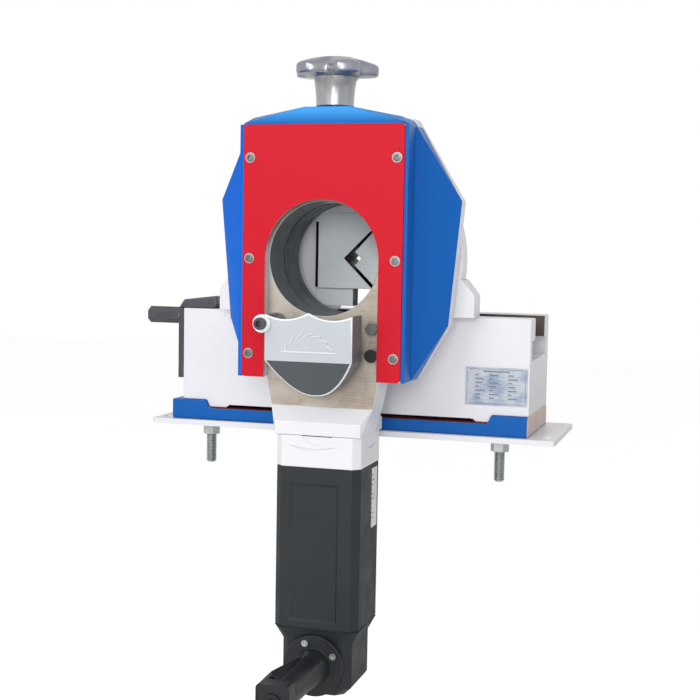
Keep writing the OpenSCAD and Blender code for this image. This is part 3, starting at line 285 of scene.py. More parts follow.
WHITE = linear(226, 226, 230)
RED = linear(200, 24, 42)
# The side covers share one blue paint: the left cover's lighter copy is painted light, the right cover's
# darker copy painted shade.
LIT_LEFT_COVER_BLUE = linear(2, 97, 202)
SHADED_RIGHT_COVER_BLUE = linear(18, 95, 178)
FOOT_BLUE = linear(20, 94, 172)
# Painted highlight on the top cover's upper slope.
TOP_HIGHLIGHT_BLUE = linear(70, 160, 235)
GROUND = linear(178, 170, 160)
STAIN = linear(134, 117, 100)
MOTOR_BLACK = linear(30, 35, 38)
HANDLE_BLACK = linear(26, 30, 33)
FINISHES = (
    enamel("white_enamel", WHITE, shine=0.3),
    cast_enamel("white_casting", WHITE),
    enamel("red_enamel", RED, shine=0.1),
    # Left cover: the lit copy of the cover blue, lighter still lower down, as painted light.
    painted_light_enamel("blue_enamel_lit_left_side", LIT_LEFT_COVER_BLUE, linear(10, 101, 204), "Z", 300, 180),
    # Right cover: the shaded copy of the cover blue, as painted shade.
    enamel("blue_enamel", SHADED_RIGHT_COVER_BLUE, shine=0.12, coat=0.04),
    # The guard's cast mark: a lighter copy of the guard's alloy, as a painted highlight.
    blasted("guard_alloy_mark_highlight", linear(216, 221, 226), 0.42, 0.2),
    # Top cover: its blue runs out to a painted highlight towards its top.
    painted_light_enamel("blue_enamel_top_highlight", FOOT_BLUE, TOP_HIGHLIGHT_BLUE, "Z", 336, 352),
    enamel("blue_enamel_foot", FOOT_BLUE, shine=0.12, coat=0.04),
    ground("ground_face", GROUND, STAIN),
    turned("blackened_steel", linear(92, 90, 97), 0.38),
    turned("blackened_bore", linear(92, 100, 103), 0.4, (1, 30, 1), 0.3),
    turned("shadowed_steel", linear(28, 31, 34), 0.5, metallic=0.2),
    turned("bright_steel", linear(196, 196, 196), 0.3),
    turned("jaw_steel", linear(226, 232, 234), 0.46, (30, 1, 30), 0.05, 0.93),
    turned("screw_steel", linear(122, 122, 121), 0.34),
    turned("zinc_plate", linear(196, 201, 202), 0.32),
    turned("bronze", linear(182, 142, 80), 0.3),
    turned("winding", linear(168, 96, 52), 0.4, (1, 1, 90)),
    blasted("guard_alloy", linear(188, 194, 200), 0.5, 0.2),
    # Darker and near-white copies of the guard's alloy: painted shade on its foot and sides, a painted
    # highlight on its rounded edges and the pivot's washer.
    blasted("guard_alloy_painted_shade", linear(86, 94, 98), 0.4, 0.35),
    blasted("guard_alloy_side_painted_shade", linear(112, 118, 122), 0.42, 0.35),
    blasted("guard_alloy_painted_highlight", linear(246, 249, 251), 0.36, 0.2),
    # The knob's darker top is a painted reflection.
    polished("polished_alloy", linear(166, 165, 166), linear(112, 116, 130), 199, 211),
    moulded("motor_moulding", MOTOR_BLACK),
    moulded("handle_moulding", HANDLE_BLACK, 0.45, 1100),
    moulded("gloss_moulding", linear(26, 27, 29), 0.3, 1800, 0.1),
    smudged("plate_alloy", linear(178, 184, 192), linear(128, 142, 172)),
    blasted("plate_print", linear(112, 122, 138), 0.5, 0.2),
    moulded("label_film", linear(205, 205, 202), 0.4, 900, 0.05),
    # Dark maroon in the gaps over the foot: undercoat red with painted shade.
    moulded("shadow_gap_paint", linear(84, 26, 34), 0.5),
    cast_enamel("primer", linear(206, 180, 172)),
    turned("guideway_steel", linear(84, 74, 69), 0.45, (1, 30, 1), 0.4),
)
FINISH = {finish.name: finish.material for finish in FINISHES}


# Pieces made from the frame's own nodes: edges rounded as a casting's or a plate's are.
def new_piece(name, body, mesh, finishes):
    piece = bpy.data.objects.new(name, mesh)
    for finish in finishes:
        piece.data.materials.append(FINISH[finish])
    bpy.context.scene.collection.objects.link(piece)
    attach(piece, body)
    return piece


def body_of(node):
    for body, nodes in frame["record"]["behaviour"]["bodies"].items():
        if node in nodes:
            return body
    raise ValueError(node)


def mark_edges(shape, rounded, angle=32, shortest=1.0, crisp=None):
    """Weights the corners that are to be rounded, and keeps the smaller ones and those that crisp picks."""
    weight = shape.edges.layers.float.new("bevel_weight_edge")
    for edge in shape.edges:
        if len(edge.link_faces) != 2 or edge.calc_face_angle(0) < radians(angle):
            continue
        if rounded and edge.calc_length() > shortest * MM and not (crisp and crisp(edge)):
            edge[weight] = 1
        else:
            edge.smooth = False


def round_edges(piece, width, segments=3, rim=-1):
    """Rounds the weighted edges, and lets the large faces settle the shading."""
    if width:
        bevel = piece.modifiers.new("edges", "BEVEL")
        bevel.width = width * MM
        bevel.segments = segments
        bevel.limit_method = "WEIGHT"
        bevel.miter_outer = "MITER_ARC"
        bevel.use_clamp_overlap = False
        bevel.material = rim
    shading = piece.modifiers.new("shading", "WEIGHTED_NORMAL")
    shading.keep_sharp = True
    shading.weight = 90


def carved(mesh, cutters):
    """A mesh with the shapes cut away. Cut faces take the first material."""
    links = bpy.context.scene.collection.objects
    block = bpy.data.objects.new("block", mesh)
    links.link(block)
    tools = []
    for cutter in cutters:
        tool_mesh = bpy.data.meshes.new("tool")
        cutter.to_mesh(tool_mesh)
        cutter.free()
        tool = bpy.data.objects.new("tool", tool_mesh)
        links.link(tool)
        cut = block.modifiers.new("cut", "BOOLEAN")
        cut.operation = "DIFFERENCE"
        cut.solver = "EXACT"
        cut.object = tool
        tools.append(tool)
    graph = bpy.context.evaluated_depsgraph_get()
    result = bpy.data.meshes.new_from_object(block.evaluated_get(graph))
    for thing in (block, *tools):
        bpy.data.objects.remove(thing)
    return result


def rounded_copy(node, finish, edge, choose=None, finishes=(), cutters=(), rim=-1, segments=3,
                 shortest=1.0, crisp=None):
    """A copy of a node with rounded edges. choose(face) picks one of the extra finishes."""
    mesh = frame["nodes"][node].data.copy()
    mesh.materials.clear()
    if cutters:
        mesh = carved(mesh, cutters)
    shape = bmesh.new()
    shape.from_mesh(mesh)
    bmesh.ops.remove_doubles(shape, verts=shape.verts, dist=MM / 200)
    bmesh.ops.dissolve_limit(shape, angle_limit=radians(0.4), verts=shape.verts, edges=shape.edges)
    for face in shape.faces:
        face.smooth = True
        face.material_index = choose(face) if choose else 0
    mark_edges(shape, edge > 0, 32, max(shortest, 1.6 * edge), crisp)
    shape.to_mesh(mesh)
    shape.free()
    piece = new_piece(node + "_piece", body_of(node), mesh, (finish, *finishes))
    round_edges(piece, edge, segments, rim)
    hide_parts(node)
    return piece


# Shapes to build or to cut with, as places in millimetres from the pipe axis at the front plate's face.
def boxed(low, high):
    """A block between two places."""
    a, b = place(*low), place(*high)
    shape = bmesh.new()
    bmesh.ops.create_cube(shape, size=1)
    bmesh.ops.scale(shape, verts=shape.verts, vec=b - a)
    bmesh.ops.translate(shape, verts=shape.verts, vec=(a + b) / 2)
    return shape


def prism(outline, across, low, high):
    """An outline drawn square to an axis ("x", "y" or "z"), and drawn out along it from low to high."""
    def spot(u, v, w):
        return {"x": place(w, u, v), "y": place(u, w, v), "z": place(u, v, w)}[across]
    shape = bmesh.new()
    face = shape.faces.new([shape.verts.new(spot(u, v, low)) for u, v in outline])
    made = bmesh.ops.extrude_face_region(shape, geom=[face])["geom"]
    verts = [v for v in made if isinstance(v, bmesh.types.BMVert)]
    bmesh.ops.translate(shape, verts=verts, vec=spot(0, 0, high) - spot(0, 0, low))
    bmesh.ops.recalc_face_normals(shape, faces=shape.faces)
    return shape


def drafted(low, high, draft, across="y"):
    """A block whose far side along an axis is drawn in on all sides, as a moulded recess is."""
    shape = boxed(low, high)
    axis = "xyz".index(across)
    far = place(*high)[axis]
    middle = (place(*low) + place(*high)) / 2
    for vert in shape.verts:
        if abs(vert.co[axis] - far) < MM / 10:
            for other in range(3):
                if other != axis:
                    vert.co[other] -= draft * MM * (1 if vert.co[other] > middle[other] else -1)
    return shape


def crescent(left, right, level, sag, width, steps=14):
    """A smile: two arcs between left and right that part in the middle."""
    def arc(drop):
        for i in range(steps + 1):
            share = i / steps
            yield left + (right - left) * share, level - drop * 4 * share * (1 - share)
    upper = list(arc(sag))
    lower = list(arc(sag + width))
    return upper + lower[-2:0:-1]


# Finish and edge radius, in millimetres, of each node.
DRESS = {
    "mounting_plate": ("white_enamel", 0.8),
    "foot_rail": ("blue_enamel_foot", 2.0),
    "vice_body": ("white_casting", 1.2),
    "vice_end_plate": ("blackened_steel", 0.5),
    "end_plate_screws": ("bright_steel", 0.3),
    "screw_bracket": ("blackened_steel", 1.5),
    "vice_screw": ("blackened_steel", 0.4),
    "left_saddle": ("white_casting", 1.5),
    "right_saddle": ("white_casting", 1.5),
    "left_jaw": ("jaw_steel", 0.6),
    "right_jaw": ("jaw_steel", 0.6),
    "left_jaw_cap": ("white_enamel", 1.0),
    "right_jaw_cap": ("white_enamel", 1.0),
    "rating_plate": ("plate_alloy", 0.2),
    "plate_rivets": ("bright_steel", 0.2),
    "mounting_studs": ("zinc_plate", 0.6),
    "stud_nuts": ("zinc_plate", 0.5),
    "stud_washers": ("zinc_plate", 0.3),
    "bearing_housing": ("white_casting", 1.5),
    "housing_bolts": ("bright_steel", 0.5),
    "ring_bush": ("bronze", 0.3),
    "head_hub": ("blackened_bore", 0.5),
    "hub_keeper": ("blackened_bore", 0.5),
    "head_casting": ("white_casting", 0.8),
    # The side covers take painted lit and painted shaded copies of one blue.
    "left_cover": ("blue_enamel_lit_left_side", 0.5),
    "right_cover": ("blue_enamel", 0.5),
    # Its lighter top is a painted highlight.
    "top_cover": ("blue_enamel_top_highlight", 1.2),
    "front_plate": ("red_enamel", 0.4),
    "front_plate_screws": ("bright_steel", 0.4),
    "feed_slide": ("white_casting", 0.8),
    "feed_nut": ("bronze", 0.4),
    "feed_screw": ("bright_steel", 0.3),
    "screw_collar": ("blackened_steel", 0.4),
    "star_knob": ("polished_alloy", 1.5),
    "knob_screw": ("bright_steel", 0.2),
    "saw_arbor": ("bright_steel", 0.4),
    "arbor_front_bearing": ("bright_steel", 0.3),
    "arbor_rear_bearing": ("bright_steel", 0.3),
    "crown_wheel": ("blackened_steel", 0.2),
    "saw_blade": ("bright_steel", 0.1),
    "blade_nut": ("blackened_steel", 0.4),
    "blade_guard": ("guard_alloy", 0.8),
    "guard_pivot_bolt": ("blackened_steel", 0.5),
    "clamp_bolt": ("screw_steel", 0.4),
    "lock_button": ("gloss_moulding", 0.8),
    "motor_flange": ("white_enamel", 1.2),
    "motor_housing": ("motor_moulding", 2.0),
    "stator": ("winding", 0.3),
    "armature": ("winding", 0.3),
    "motor_fan": ("gloss_moulding", 0.2),
    "shaft_bearings": ("bright_steel", 0.3),
    "rear_housing": ("motor_moulding", 1.5),
    "motor_label": ("label_film", 0.0),
    "handle": ("handle_moulding", 0.8),
    "handle_screws": ("bright_steel", 0.3),
    "trigger": ("handle_moulding", 1.2),
    "trigger_switch": ("gloss_moulding", 0.4),
    "cable_inlet": ("gloss_moulding", 0.5),
}


def from_axis(face):
    """A face's middle, in millimetres from the pipe axis at the front plate's face."""
    return (face.calc_center_median() - place(0, 0, 0)) / MM


def slide_face(face):
    """The slide's front face is ground, its pipe bore is dark, and the rest is painted."""
    middle = from_axis(face)
    if face.normal.y < -0.9 and abs(middle.y - SLIDE_FACE) < 1:
        return 1
    return 2 if middle.xz.length < 61 else 0


def plate_edge(face):
    """The front plate is painted on its faces and bare on its cut edges."""
    return 1 if abs(face.normal.y) < 0.5 and abs(from_axis(face).x) < 63 else 0


def guard_face(face):
    """The guard's front takes its plain alloy; its sloped foot is painted dark and its sides painted between,
    as painted shade.
    """
    if face.normal.y < -0.99 and from_axis(face).y < GUARD_FRONT + 1:
        return 0
    return 1 if -0.95 < face.normal.y < -0.3 and face.normal.z < -0.3 else 2


def inside_guard(edge):
    """Only the corners between the guard's front or foot and its sides are rounded."""
    return {face.material_index for face in edge.link_faces} not in ({0, 2}, {1, 2})


def jaw_face(face):
    """A jaw's gripping faces, its groove and the plane between its two layers take dark steel as painted
    shade.
    """
    middle = from_axis(face)
    if abs(face.normal.y) < 0.5:
        return 1 if abs(middle.x) < 43.5 and abs(face.normal.z) < 0.9 else 0
    between_layers = abs(middle.y - JAW_MIDDLE) < 1
    in_groove = middle.x < -40 and JAW_FRONT + 5 < middle.y < JAW_MIDDLE
    return 1 if between_layers or in_groove else 0


def under_pad(face):
    """The long gap over the foot takes a dark maroon, its undercoat's red darkened as painted shade, and the
    foot's right end is bare of its blue.
    """
    middle = from_axis(face)
    if abs(face.normal.z) > 0.3 and -178 < middle.z < -171 and abs(middle.x) < 160:
        return 1
    return 2 if face.normal.x > 0.9 and middle.x > 200 else 0


def slideway(face):
    """The T slot's neck is dark steel; the long gap under the body takes a dark maroon, its undercoat's red
    darkened as painted shade.
    """
    middle = from_axis(face)
    if abs(face.normal.z) > 0.3 and -178 < middle.z < -171 and abs(middle.x) < 160:
        return 1
    return 2 if abs(face.normal.y) > 0.9 and -87 < middle.z < -61 and 130 < middle.y < 215 else 0


def spindle_face(face):
    """The vice's hexagon takes bright steel on the flat that turns up to the front, as a painted highlight.
    """
    return 1 if from_axis(face).x < -210 and face.normal.y < -0.5 and face.normal.z > 0.2 else 0


SLIDE_FACE = 10
GUARD_FRONT = -39
JAW_FRONT = 115
JAW_MIDDLE = 140
FLANGE_HW = 47
FLANGE_TOP = -186
MOTOR_FACE = -4
SMILE = dict(level=-196.5, sag=3.2, width=1.9)
SPLIT = {
    "feed_slide": (slide_face, ("ground_face", "blackened_bore")),
    "front_plate": (plate_edge, ("bright_steel",)),
    "left_jaw": (jaw_face, ("shadowed_steel",)),
    "right_jaw": (jaw_face, ("shadowed_steel",)),
    "foot_rail": (under_pad, ("shadow_gap_paint", "primer")),
    "vice_body": (slideway, ("shadow_gap_paint", "guideway_steel")),
    "vice_screw": (spindle_face, ("bright_steel",)),
}


def flange_cuts():
    """Finger grooves in the motor flange: one in front and one at each side."""
    yield prism(crescent(-32, 22, **SMILE), "y", MOTOR_FACE - 2, MOTOR_FACE + 1.2)
    for side in (-1, 1):
        yield prism(crescent(22, 60, **SMILE), "x", side * (FLANGE_HW - 1.2), side * (FLANGE_HW + 2))


def motor_cuts():
    """A shallow drafted panel down the motor's front, over the frame's own."""
    yield drafted((-30, MOTOR_FACE - 1, -386), (25, MOTOR_FACE + 1.5, -237), 2.2)


REMADE = ("front_plate_screws", "star_knob", "mounting_studs", "guard_pivot_bolt", "blade_guard",
          "motor_flange", "motor_housing")
for node_name, (finish_name, edge_mm) in DRESS.items():
    if node_name not in REMADE:
        chooser, extras = SPLIT.get(node_name, (None, ()))
        rounded_copy(node_name, finish_name, edge_mm, chooser, extras)
rounded_copy("motor_flange", "white_enamel", 1.0, cutters=list(flange_cuts()), shortest=6)
rounded_copy("motor_housing", "motor_moulding", 1.2, cutters=list(motor_cuts()), shortest=6)
# The guard's foot and sides take painted shade, its rounded edges a painted highlight.
rounded_copy("blade_guard", "guard_alloy", 1.5, guard_face,
             ("guard_alloy_painted_shade", "guard_alloy_side_painted_shade", "guard_alloy_painted_highlight"),
             [boxed((-60, -45, -150), (60, GUARD_FRONT + 0.05, -50))], 3, 4, crisp=inside_guard)


# Pieces modelled afresh, over the nodes that they stand for.
UP = Vector((0, 0, 1))
BACK = Vector((0, 1, 0))
FRONT = -BACK
RIGHT = Vector((1, 0, 0))


def turned_shape(profile, spot, direction=UP, steps=64):
    """Spins (radius, height) points, in millimetres, about a line through spot."""
    shape = bmesh.new()
    chain = [shape.verts.new((radius * MM, 0, height * MM)) for radius, height in profile]
    edges = [shape.edges.new(pair) for pair in zip(chain, chain[1:])]
    bmesh.ops.spin(shape, geom=chain + edges, cent=(0, 0, 0), axis=UP, angle=2 * pi, steps=steps,
                   use_merge=True)
    bmesh.ops.remove_doubles(shape, verts=shape.verts, dist=MM / 500)
    bmesh.ops.recalc_face_normals(shape, faces=shape.faces)
    turn = UP.rotation_difference(direction).to_matrix().to_4x4()
    bmesh.ops.transform(shape, matrix=Matrix.Translation(spot) @ turn, verts=shape.verts)
    return shape


def joined(shapes):
    """Several shapes as one."""
    whole = bmesh.new()
    for shape in shapes:
        mesh = bpy.data.meshes.new("part")
        shape.to_mesh(mesh)
        shape.free()
        whole.from_mesh(mesh)
        bpy.data.meshes.remove(mesh)
    return whole


def finished(name, node, shape, finishes, edge=0.0, segments=3, angle=32, shortest=1.0):
    """Makes a piece of a shape. It stands for its node, rides on its body and takes its slot."""
    for face in shape.faces:
        face.smooth = True
    mark_edges(shape, edge > 0, angle, shortest)
    mesh = bpy.data.meshes.new(name)
    shape.to_mesh(mesh)
    shape.free()
    piece = new_piece(name, body_of(node), mesh, finishes)
    round_edges(piece, edge, segments)
    return piece


def socket_screw(spot, direction, head_r, head_h, socket_r, socket_depth):
    """A round screw head with a hexagon socket, seated at spot."""
    shape = bmesh.new()
    steps = 40
    rim = bmesh.ops.create_circle(shape, segments=steps, radius=head_r * MM)["verts"]
    edges = [e for e in shape.edges]
    def risen(loop, lift, scale):
        made = bmesh.ops.extrude_edge_only(shape, edges=loop)["geom"]
        verts = [v for v in made if isinstance(v, bmesh.types.BMVert)]
        bmesh.ops.translate(shape, verts=verts, vec=(0, 0, lift * MM))
        bmesh.ops.scale(shape, verts=verts, vec=(scale, scale, 1))
        return [e for e in made if isinstance(e, bmesh.types.BMEdge)]
    edges = risen(edges, head_h * 0.7, 1.0)
    edges = risen(edges, head_h * 0.22, 0.95)
    edges = risen(edges, head_h * 0.08, 0.86)
    hexagon = bmesh.ops.create_circle(shape, segments=6, radius=socket_r * MM)["verts"]
    bmesh.ops.translate(shape, verts=hexagon, vec=(0, 0, head_h * MM))
    hex_edges = list({e for v in hexagon for e in v.link_edges})
    bmesh.ops.bridge_loops(shape, edges=edges + hex_edges)
    floor = risen(hex_edges, -socket_depth, 1.0)
    bmesh.ops.contextual_create(shape, geom=floor)
    bmesh.ops.contextual_create(shape, geom=list({e for v in rim for e in v.link_edges if e.is_boundary}))
    bmesh.ops.recalc_face_normals(shape, faces=shape.faces)
    turn = UP.rotation_difference(direction).to_matrix().to_4x4()
    bmesh.ops.transform(shape, matrix=Matrix.Translation(spot) @ turn, verts=shape.verts)
    return shape


PLATE_SCREW_X = 80
PLATE_SCREW_Z = (105, -0.7, -101.7)
SCREW_HEAD_R = 4.6


def make_plate_screws():
    """Six button heads on the front plate, each on a thin bright washer."""
    shapes = []
    for side in (-1, 1):
        for height in PLATE_SCREW_Z:
            spot = place(side * PLATE_SCREW_X, 0, height)
            washer = [(2.6, 0), (5.4, 0), (5.4, 0.5), (5.1, 0.7), (2.6, 0.7)]
            shapes.append(turned_shape(washer, spot, FRONT, 40))
            shapes.append(socket_screw(spot + FRONT * 0.6 * MM, FRONT, SCREW_HEAD_R - 0.3, 1.5, 2.3, 1.2))
    shape = joined(shapes)
    for face in shape.faces:
        face.material_index = 1 if from_axis(face).y > -0.71 else 0
    piece = finished("plate_screw_heads", "front_plate_screws", shape, ("screw_steel", "bright_steel"))
    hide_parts("front_plate_screws")


KNOB_LOBES = 5
KNOB_NOTCH = 0.3                # how far the hollows between the lobes cut in, as a share
KNOB_PROFILE = ((8, 160.3), (19, 160.3), (20.2, 161.5), (20.4, 170), (21.2, 180), (22.6, 188), (24.5, 191.4),
                (30, 192.6), (40, 192.9), (44, 193.3), (45.6, 194.6), (46, 196.4), (46, 201.6), (45.3, 203.6),
                (43.4, 205.2), (38, 207.2), (30, 209.6), (21, 211.5), (12, 212.6), (5, 213), (0, 213))


def make_star_knob():
    """A turned blank whose rim is drawn in between its lobes, as the casting's is."""
    shape = turned_shape(KNOB_PROFILE, Vector((0, 0, 0)), UP, 160)
    for vert in shape.verts:
        radius = vert.co.xy.length / MM
        if radius < 23 or vert.co.z < 191 * MM:
            continue
        bearing = atan2(vert.co.x, vert.co.y)
        wave = 0.5 - 0.5 * cos(KNOB_LOBES * bearing)
        pull = KNOB_NOTCH * wave ** 2.2 * min(1, (radius - 20) / 22)
        vert.co.x *= 1 - pull
        vert.co.y *= 1 - pull
        if vert.co.z > 197 * MM:
            vert.co.z -= 1.6 * MM * wave * min(1, (radius - 20) / 22)
    bmesh.ops.translate(shape, verts=shape.verts, vec=place(0, 40, 0))
    bmesh.ops.recalc_face_normals(shape, faces=shape.faces)
    piece = finished("star_knob_casting", "star_knob", shape, ("polished_alloy",))
    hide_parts("star_knob")


def threaded(length, radius, pitch, chamfer=1.0):
    """A bolt's outline: a saw-tooth profile that reads as its thread."""
    depth = 0.6 * pitch
    profile = [(0, 0), (radius - depth - chamfer / 2, 0), (radius - depth, chamfer)]
    turns = int((length - 2 * chamfer) / pitch)
    for i in range(turns):
        low = chamfer + i * pitch
        profile += [(radius - depth, low + 0.1 * pitch), (radius, low + 0.45 * pitch),
                    (radius, low + 0.6 * pitch)]
    profile += [(radius - depth, length - chamfer), (radius - depth - chamfer / 2, length), (0, length)]
    return profile


STUD_PLACES = ((-172, 122), (172, 122), (0, 215))
STUD_LOW = -46
STUD_PITCH = 1.75


def make_studs():
    shapes = []
    for x, y in STUD_PLACES:
        spot = place(x, y, -AXIS_HEIGHT / MM + STUD_LOW)
        shapes.append(turned_shape(threaded(59, 6, STUD_PITCH), spot, UP, 40))
    piece = finished("stud_threads", "mounting_studs", joined(shapes), ("zinc_plate",))
    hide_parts("mounting_studs")


PIVOT = (-50, -67)
PIVOT_FACE = -39.2


def make_pivot_bolt():
    """The guard's pivot: a washer, painted near white as a highlight, under a knurled socket head."""
    spot = place(PIVOT[0], PIVOT_FACE, PIVOT[1])
    washer = turned_shape([(4.2, 0), (9.4, 0), (9.4, 2.2), (8.8, 2.8), (4.2, 2.8)], spot, FRONT, 48)
    head = turned_shape([(0, 2.8), (6.1, 2.8), (6.1, 3.4), (6.3, 3.6), (6.3, 9.2), (5.8, 9.7),
                         (3.4, 9.8), (3.2, 9.4), (3.2, 5.6), (0, 5.6)], spot, FRONT, 96)
    for vert in head.verts:
        offset = vert.co - spot
        radial = Vector((offset.x, 0, offset.z))
        if radial.length > 6.25 * MM:
            index = round(radial.angle(RIGHT) / (2 * pi) * 96)
            vert.co -= radial * (0.045 if index % 2 else 0)
    shank = turned_shape([(0, -68), (4, -68), (4, 0), (0, 0)], spot, FRONT, 32)
    shape = joined([washer, head, shank])
    # The washer's near-white finish is a painted highlight.
    for face in shape.faces:
        depth = (spot.y - face.calc_center_median().y) / MM
        face.material_index = 1 if 0 <= depth <= 2.81 else 0
    piece = finished("guard_pivot", "guard_pivot_bolt", shape, ("blackened_steel", "guard_alloy_painted_highlight"))
    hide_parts("guard_pivot_bolt")


MARK_LEVEL = -95
MARK_CENTRE = -104.9            # middle of the circle that the teeth stand on
MARK_R = 26.9
MARK_FIRST = 158
MARK_LAST = 22
MARK_TEETH = 7
MARK_LINE = 1.5


def tooth_line(radius, level):
    """Half a saw blade's teeth, from left to right, as (x, z) places no lower than a level."""
    step = (MARK_FIRST - MARK_LAST) / MARK_TEETH
    for tooth in range(MARK_TEETH):
        for share, rise in ((0, 0), (0.78, 3.6), (0.86, 3.4)):
            bearing = radians(MARK_FIRST - (tooth + share) * step)
            reach = radius + rise
            yield reach * cos(bearing), max(level, MARK_CENTRE + reach * sin(bearing))
    yield radius * cos(radians(MARK_LAST)), max(level, MARK_CENTRE + radius * sin(radians(MARK_LAST)))


def make_guard_mark():
    """The half saw blade cast on the guard: a toothed ridge over a base line."""
    outer = list(tooth_line(MARK_R, MARK_LEVEL + 0.4))
    inner = list(tooth_line(MARK_R - MARK_LINE, MARK_LEVEL))
    ridge = bmesh.new()
    rows = []
    for depth, grow in ((GUARD_FRONT - 0.9, 0.12), (GUARD_FRONT + 0.4, 0)):
        rows.append([ridge.verts.new(place(x * (1 - grow / MARK_R), depth, z)) for x, z in outer])
        rows.append([ridge.verts.new(place(x, depth, z)) for x, z in inner])
    front_out, front_in, back_out, back_in = rows
    sides = ((front_out, front_in), (back_in, back_out), (back_out, front_out), (front_in, back_in))
    for one, other in sides:
        for i in range(len(one) - 1):
            ridge.faces.new((one[i], one[i + 1], other[i + 1], other[i]))
    for i in (0, -1):
        ridge.faces.new((front_out[i], front_in[i], back_in[i], back_out[i]))
    bmesh.ops.recalc_face_normals(ridge, faces=ridge.faces)
    base = boxed((-29, GUARD_FRONT - 0.9, MARK_LEVEL - 1), (30.5, GUARD_FRONT + 0.4, MARK_LEVEL + 0.9))
    # The mark's lighter alloy is a painted highlight.
    finished("guard_mark", "blade_guard", joined([ridge, base]), ("guard_alloy_mark_highlight",), 0.25, 2, 32, 0.5)


def make_jaw_shadow_strip():
    """A dark strip down the left side of the left jaw's groove, beside its saddle, as painted shadow."""
    finished("left_jaw_shadow_strip", "left_jaw", boxed((-44, 115.5, -33), (-43.2, 129.5, 41)), ("shadowed_steel",))


def make_flange_gasket():
    """A dark gasket, set just inside the joint of the slide's foot and the motor flange."""
    half, front, back, corner = FLANGE_HW - 0.4, MOTOR_FACE + 0.4, 81, 8
    outline = [(-half, front + corner), (corner - half, front),
               (half - corner, front), (half, front + corner),
               (half, back - corner), (half - corner, back), (corner - half, back), (-half, back - corner)]
    finished("flange_gasket", "motor_flange", prism(outline, "z", FLANGE_TOP - 0.7, FLANGE_TOP + 0.7),
             ("shadowed_steel",))


RATING_LEFT, RATING_RIGHT, RATING_TOP, RATING_LOW, RATING_FACE = 135, 203.4, -115.6, -157, 105
RATING_ROWS = 8


def make_rating_print():
    """The rating plate's printed border, ruled lines and illegible entries, each a thin raised film."""
    def film(left, right, low, high):
        return boxed((left, RATING_FACE - 0.12, low), (right, RATING_FACE + 0.1, high))
    left, right, low, high = RATING_LEFT + 1.6, RATING_RIGHT - 1.6, RATING_LOW + 1.6, RATING_TOP - 1.6
    line = 0.5
    shapes = [film(left, right, low, low + line), film(left, right, high - line, high),
              film(left, left + line, low, high), film(right - line, right, low, high)]
    row = (high - low) / (RATING_ROWS + 1)
    for i in range(1, RATING_ROWS):
        level = low + i * row
        shapes.append(film(left + 6, right - 5, level, level + line / 2))
        for column in (0.14, 0.38, 0.7):
            start = left + column * (right - left)
            length = 7.5 + 3.5 * sin(i * 2.3 + column * 9)
            shapes.append(film(start, start + length, level + 1.2, level + 2.6))
    shapes.append(film(left + 18, right - 18, high - 3.4, high - 1.9))
    finished("rating_print", "rating_plate", joined(shapes), ("plate_print",))


def make_label_print():
    """The motor label's ruled lines and illegible entries."""
    side = FLANGE_HW + 0.4
    shapes = []
    for i in range(11):
        level = -232 - i * 5.2
        length = 12 + 4 * sin(i * 1.7)
        shapes.append(boxed((side - 0.1, 38, level - 1.1), (side + 0.1, 38 + length, level)))
    finished("label_print", "motor_label", joined(shapes), ("plate_print",))


make_jaw_shadow_strip()
make_guard_mark()
make_flange_gasket()
make_rating_print()
make_label_print()
make_plate_screws()
make_star_knob()
make_studs()
make_pivot_bolt()


# Studio: white world and floor, a key lamp at the upper left, a wide fill at the right.
FLOOR_Z = -0.42
FLOOR_GLOW = 0.38                # what the camera alone sees on top of the floor's own light


def white_when_seen(nodes, links):
    """One where the camera, a mirror or a glass looks at the world, and none where it lights."""
    path = nodes.new("ShaderNodeLightPath")
    seen = path.outputs["Is Camera Ray"]
    for ray in ("Is Glossy Ray", "Is Transmission Ray"):
        either = nodes.new("ShaderNodeMath")
        either.operation = "MAXIMUM"
        links.new(seen, either.inputs[0])
        links.new(path.outputs[ray], either.inputs[1])
        seen = either.outputs[0]
    return seen


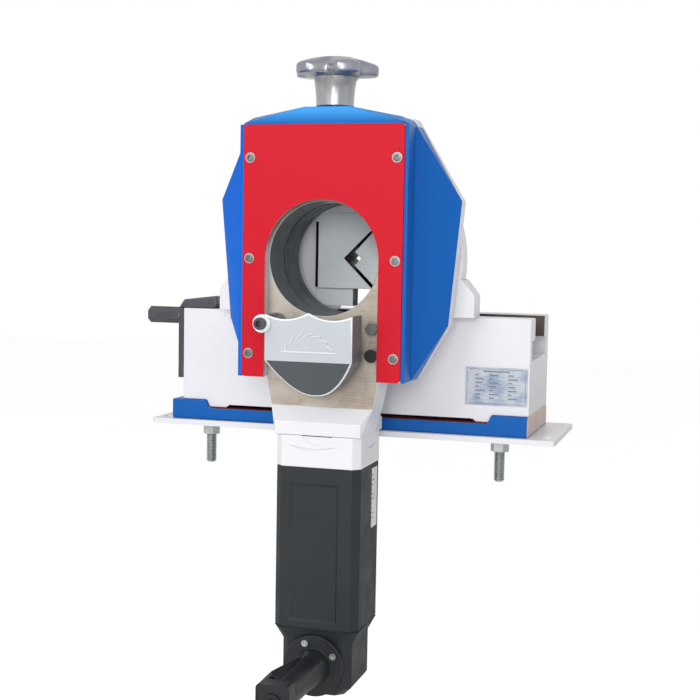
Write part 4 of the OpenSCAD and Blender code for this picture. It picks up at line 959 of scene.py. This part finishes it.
def make_world():
    world = bpy.data.worlds.new("studio")
    world.use_nodes = True
    bpy.context.scene.world = world
    nodes, links = world.node_tree.nodes, world.node_tree.links
    light = nodes["Background"]
    light.inputs["Color"].default_value = (1, 1, 1, 1)
    light.inputs["Strength"].default_value = 0.62
    white = nodes.new("ShaderNodeBackground")
    white.inputs["Color"].default_value = (1, 1, 1, 1)
    white.inputs["Strength"].default_value = 1
    mix = nodes.new("ShaderNodeMixShader")
    links.new(white_when_seen(nodes, links), mix.inputs["Fac"])
    links.new(light.outputs["Background"], mix.inputs[1])
    links.new(white.outputs["Background"], mix.inputs[2])
    links.new(mix.outputs["Shader"], nodes["World Output"].inputs["Surface"])


def make_floor():
    mesh = bpy.data.meshes.new("floor")
    shape = bmesh.new()
    bmesh.ops.create_grid(shape, x_segments=1, y_segments=1, size=6)
    bmesh.ops.translate(shape, verts=shape.verts, vec=(0, 0, FLOOR_Z))
    shape.to_mesh(mesh)
    shape.free()
    floor = bpy.data.objects.new("floor", mesh)
    finish = Finish("pale_floor", (0.92, 0.92, 0.92), roughness=0.9)
    finish.shade(finish.noise(3, 2), (0.88, 0.88, 0.88), 0, 0.5)
    seen = finish.nodes.new("ShaderNodeLightPath").outputs["Is Camera Ray"]
    finish.shader.inputs["Emission Color"].default_value = (1, 1, 1, 1)
    finish.links.new(finish.ramp(seen, 0, FLOOR_GLOW, 0, 1), finish.shader.inputs["Emission Strength"])
    mesh.materials.append(finish.material)
    bpy.context.scene.collection.objects.link(floor)


def make_lamp(name, spot, aim, size, watts):
    data = bpy.data.lights.new(name, "AREA")
    data.shape = "DISK"
    data.size = size
    data.energy = watts
    lamp = bpy.data.objects.new(name, data)
    lamp.location = spot
    lamp.rotation_euler = (Vector(aim) - Vector(spot)).to_track_quat("-Z", "Y").to_euler()
    bpy.context.scene.collection.objects.link(lamp)


make_world()
make_floor()
make_lamp("key", (-0.9, -2.2, 1.3), (0, 0, 0.1), 1.2, 18)
make_lamp("fill", (0.3, -2.3, 0.6), (0, 0, 0.15), 0.8, 13)
make_lamp("side", (1.0, -2.2, 0.6), (0, 0, 0.15), 0.8, 4)
bpy.context.scene.view_settings.view_transform = "Standard"
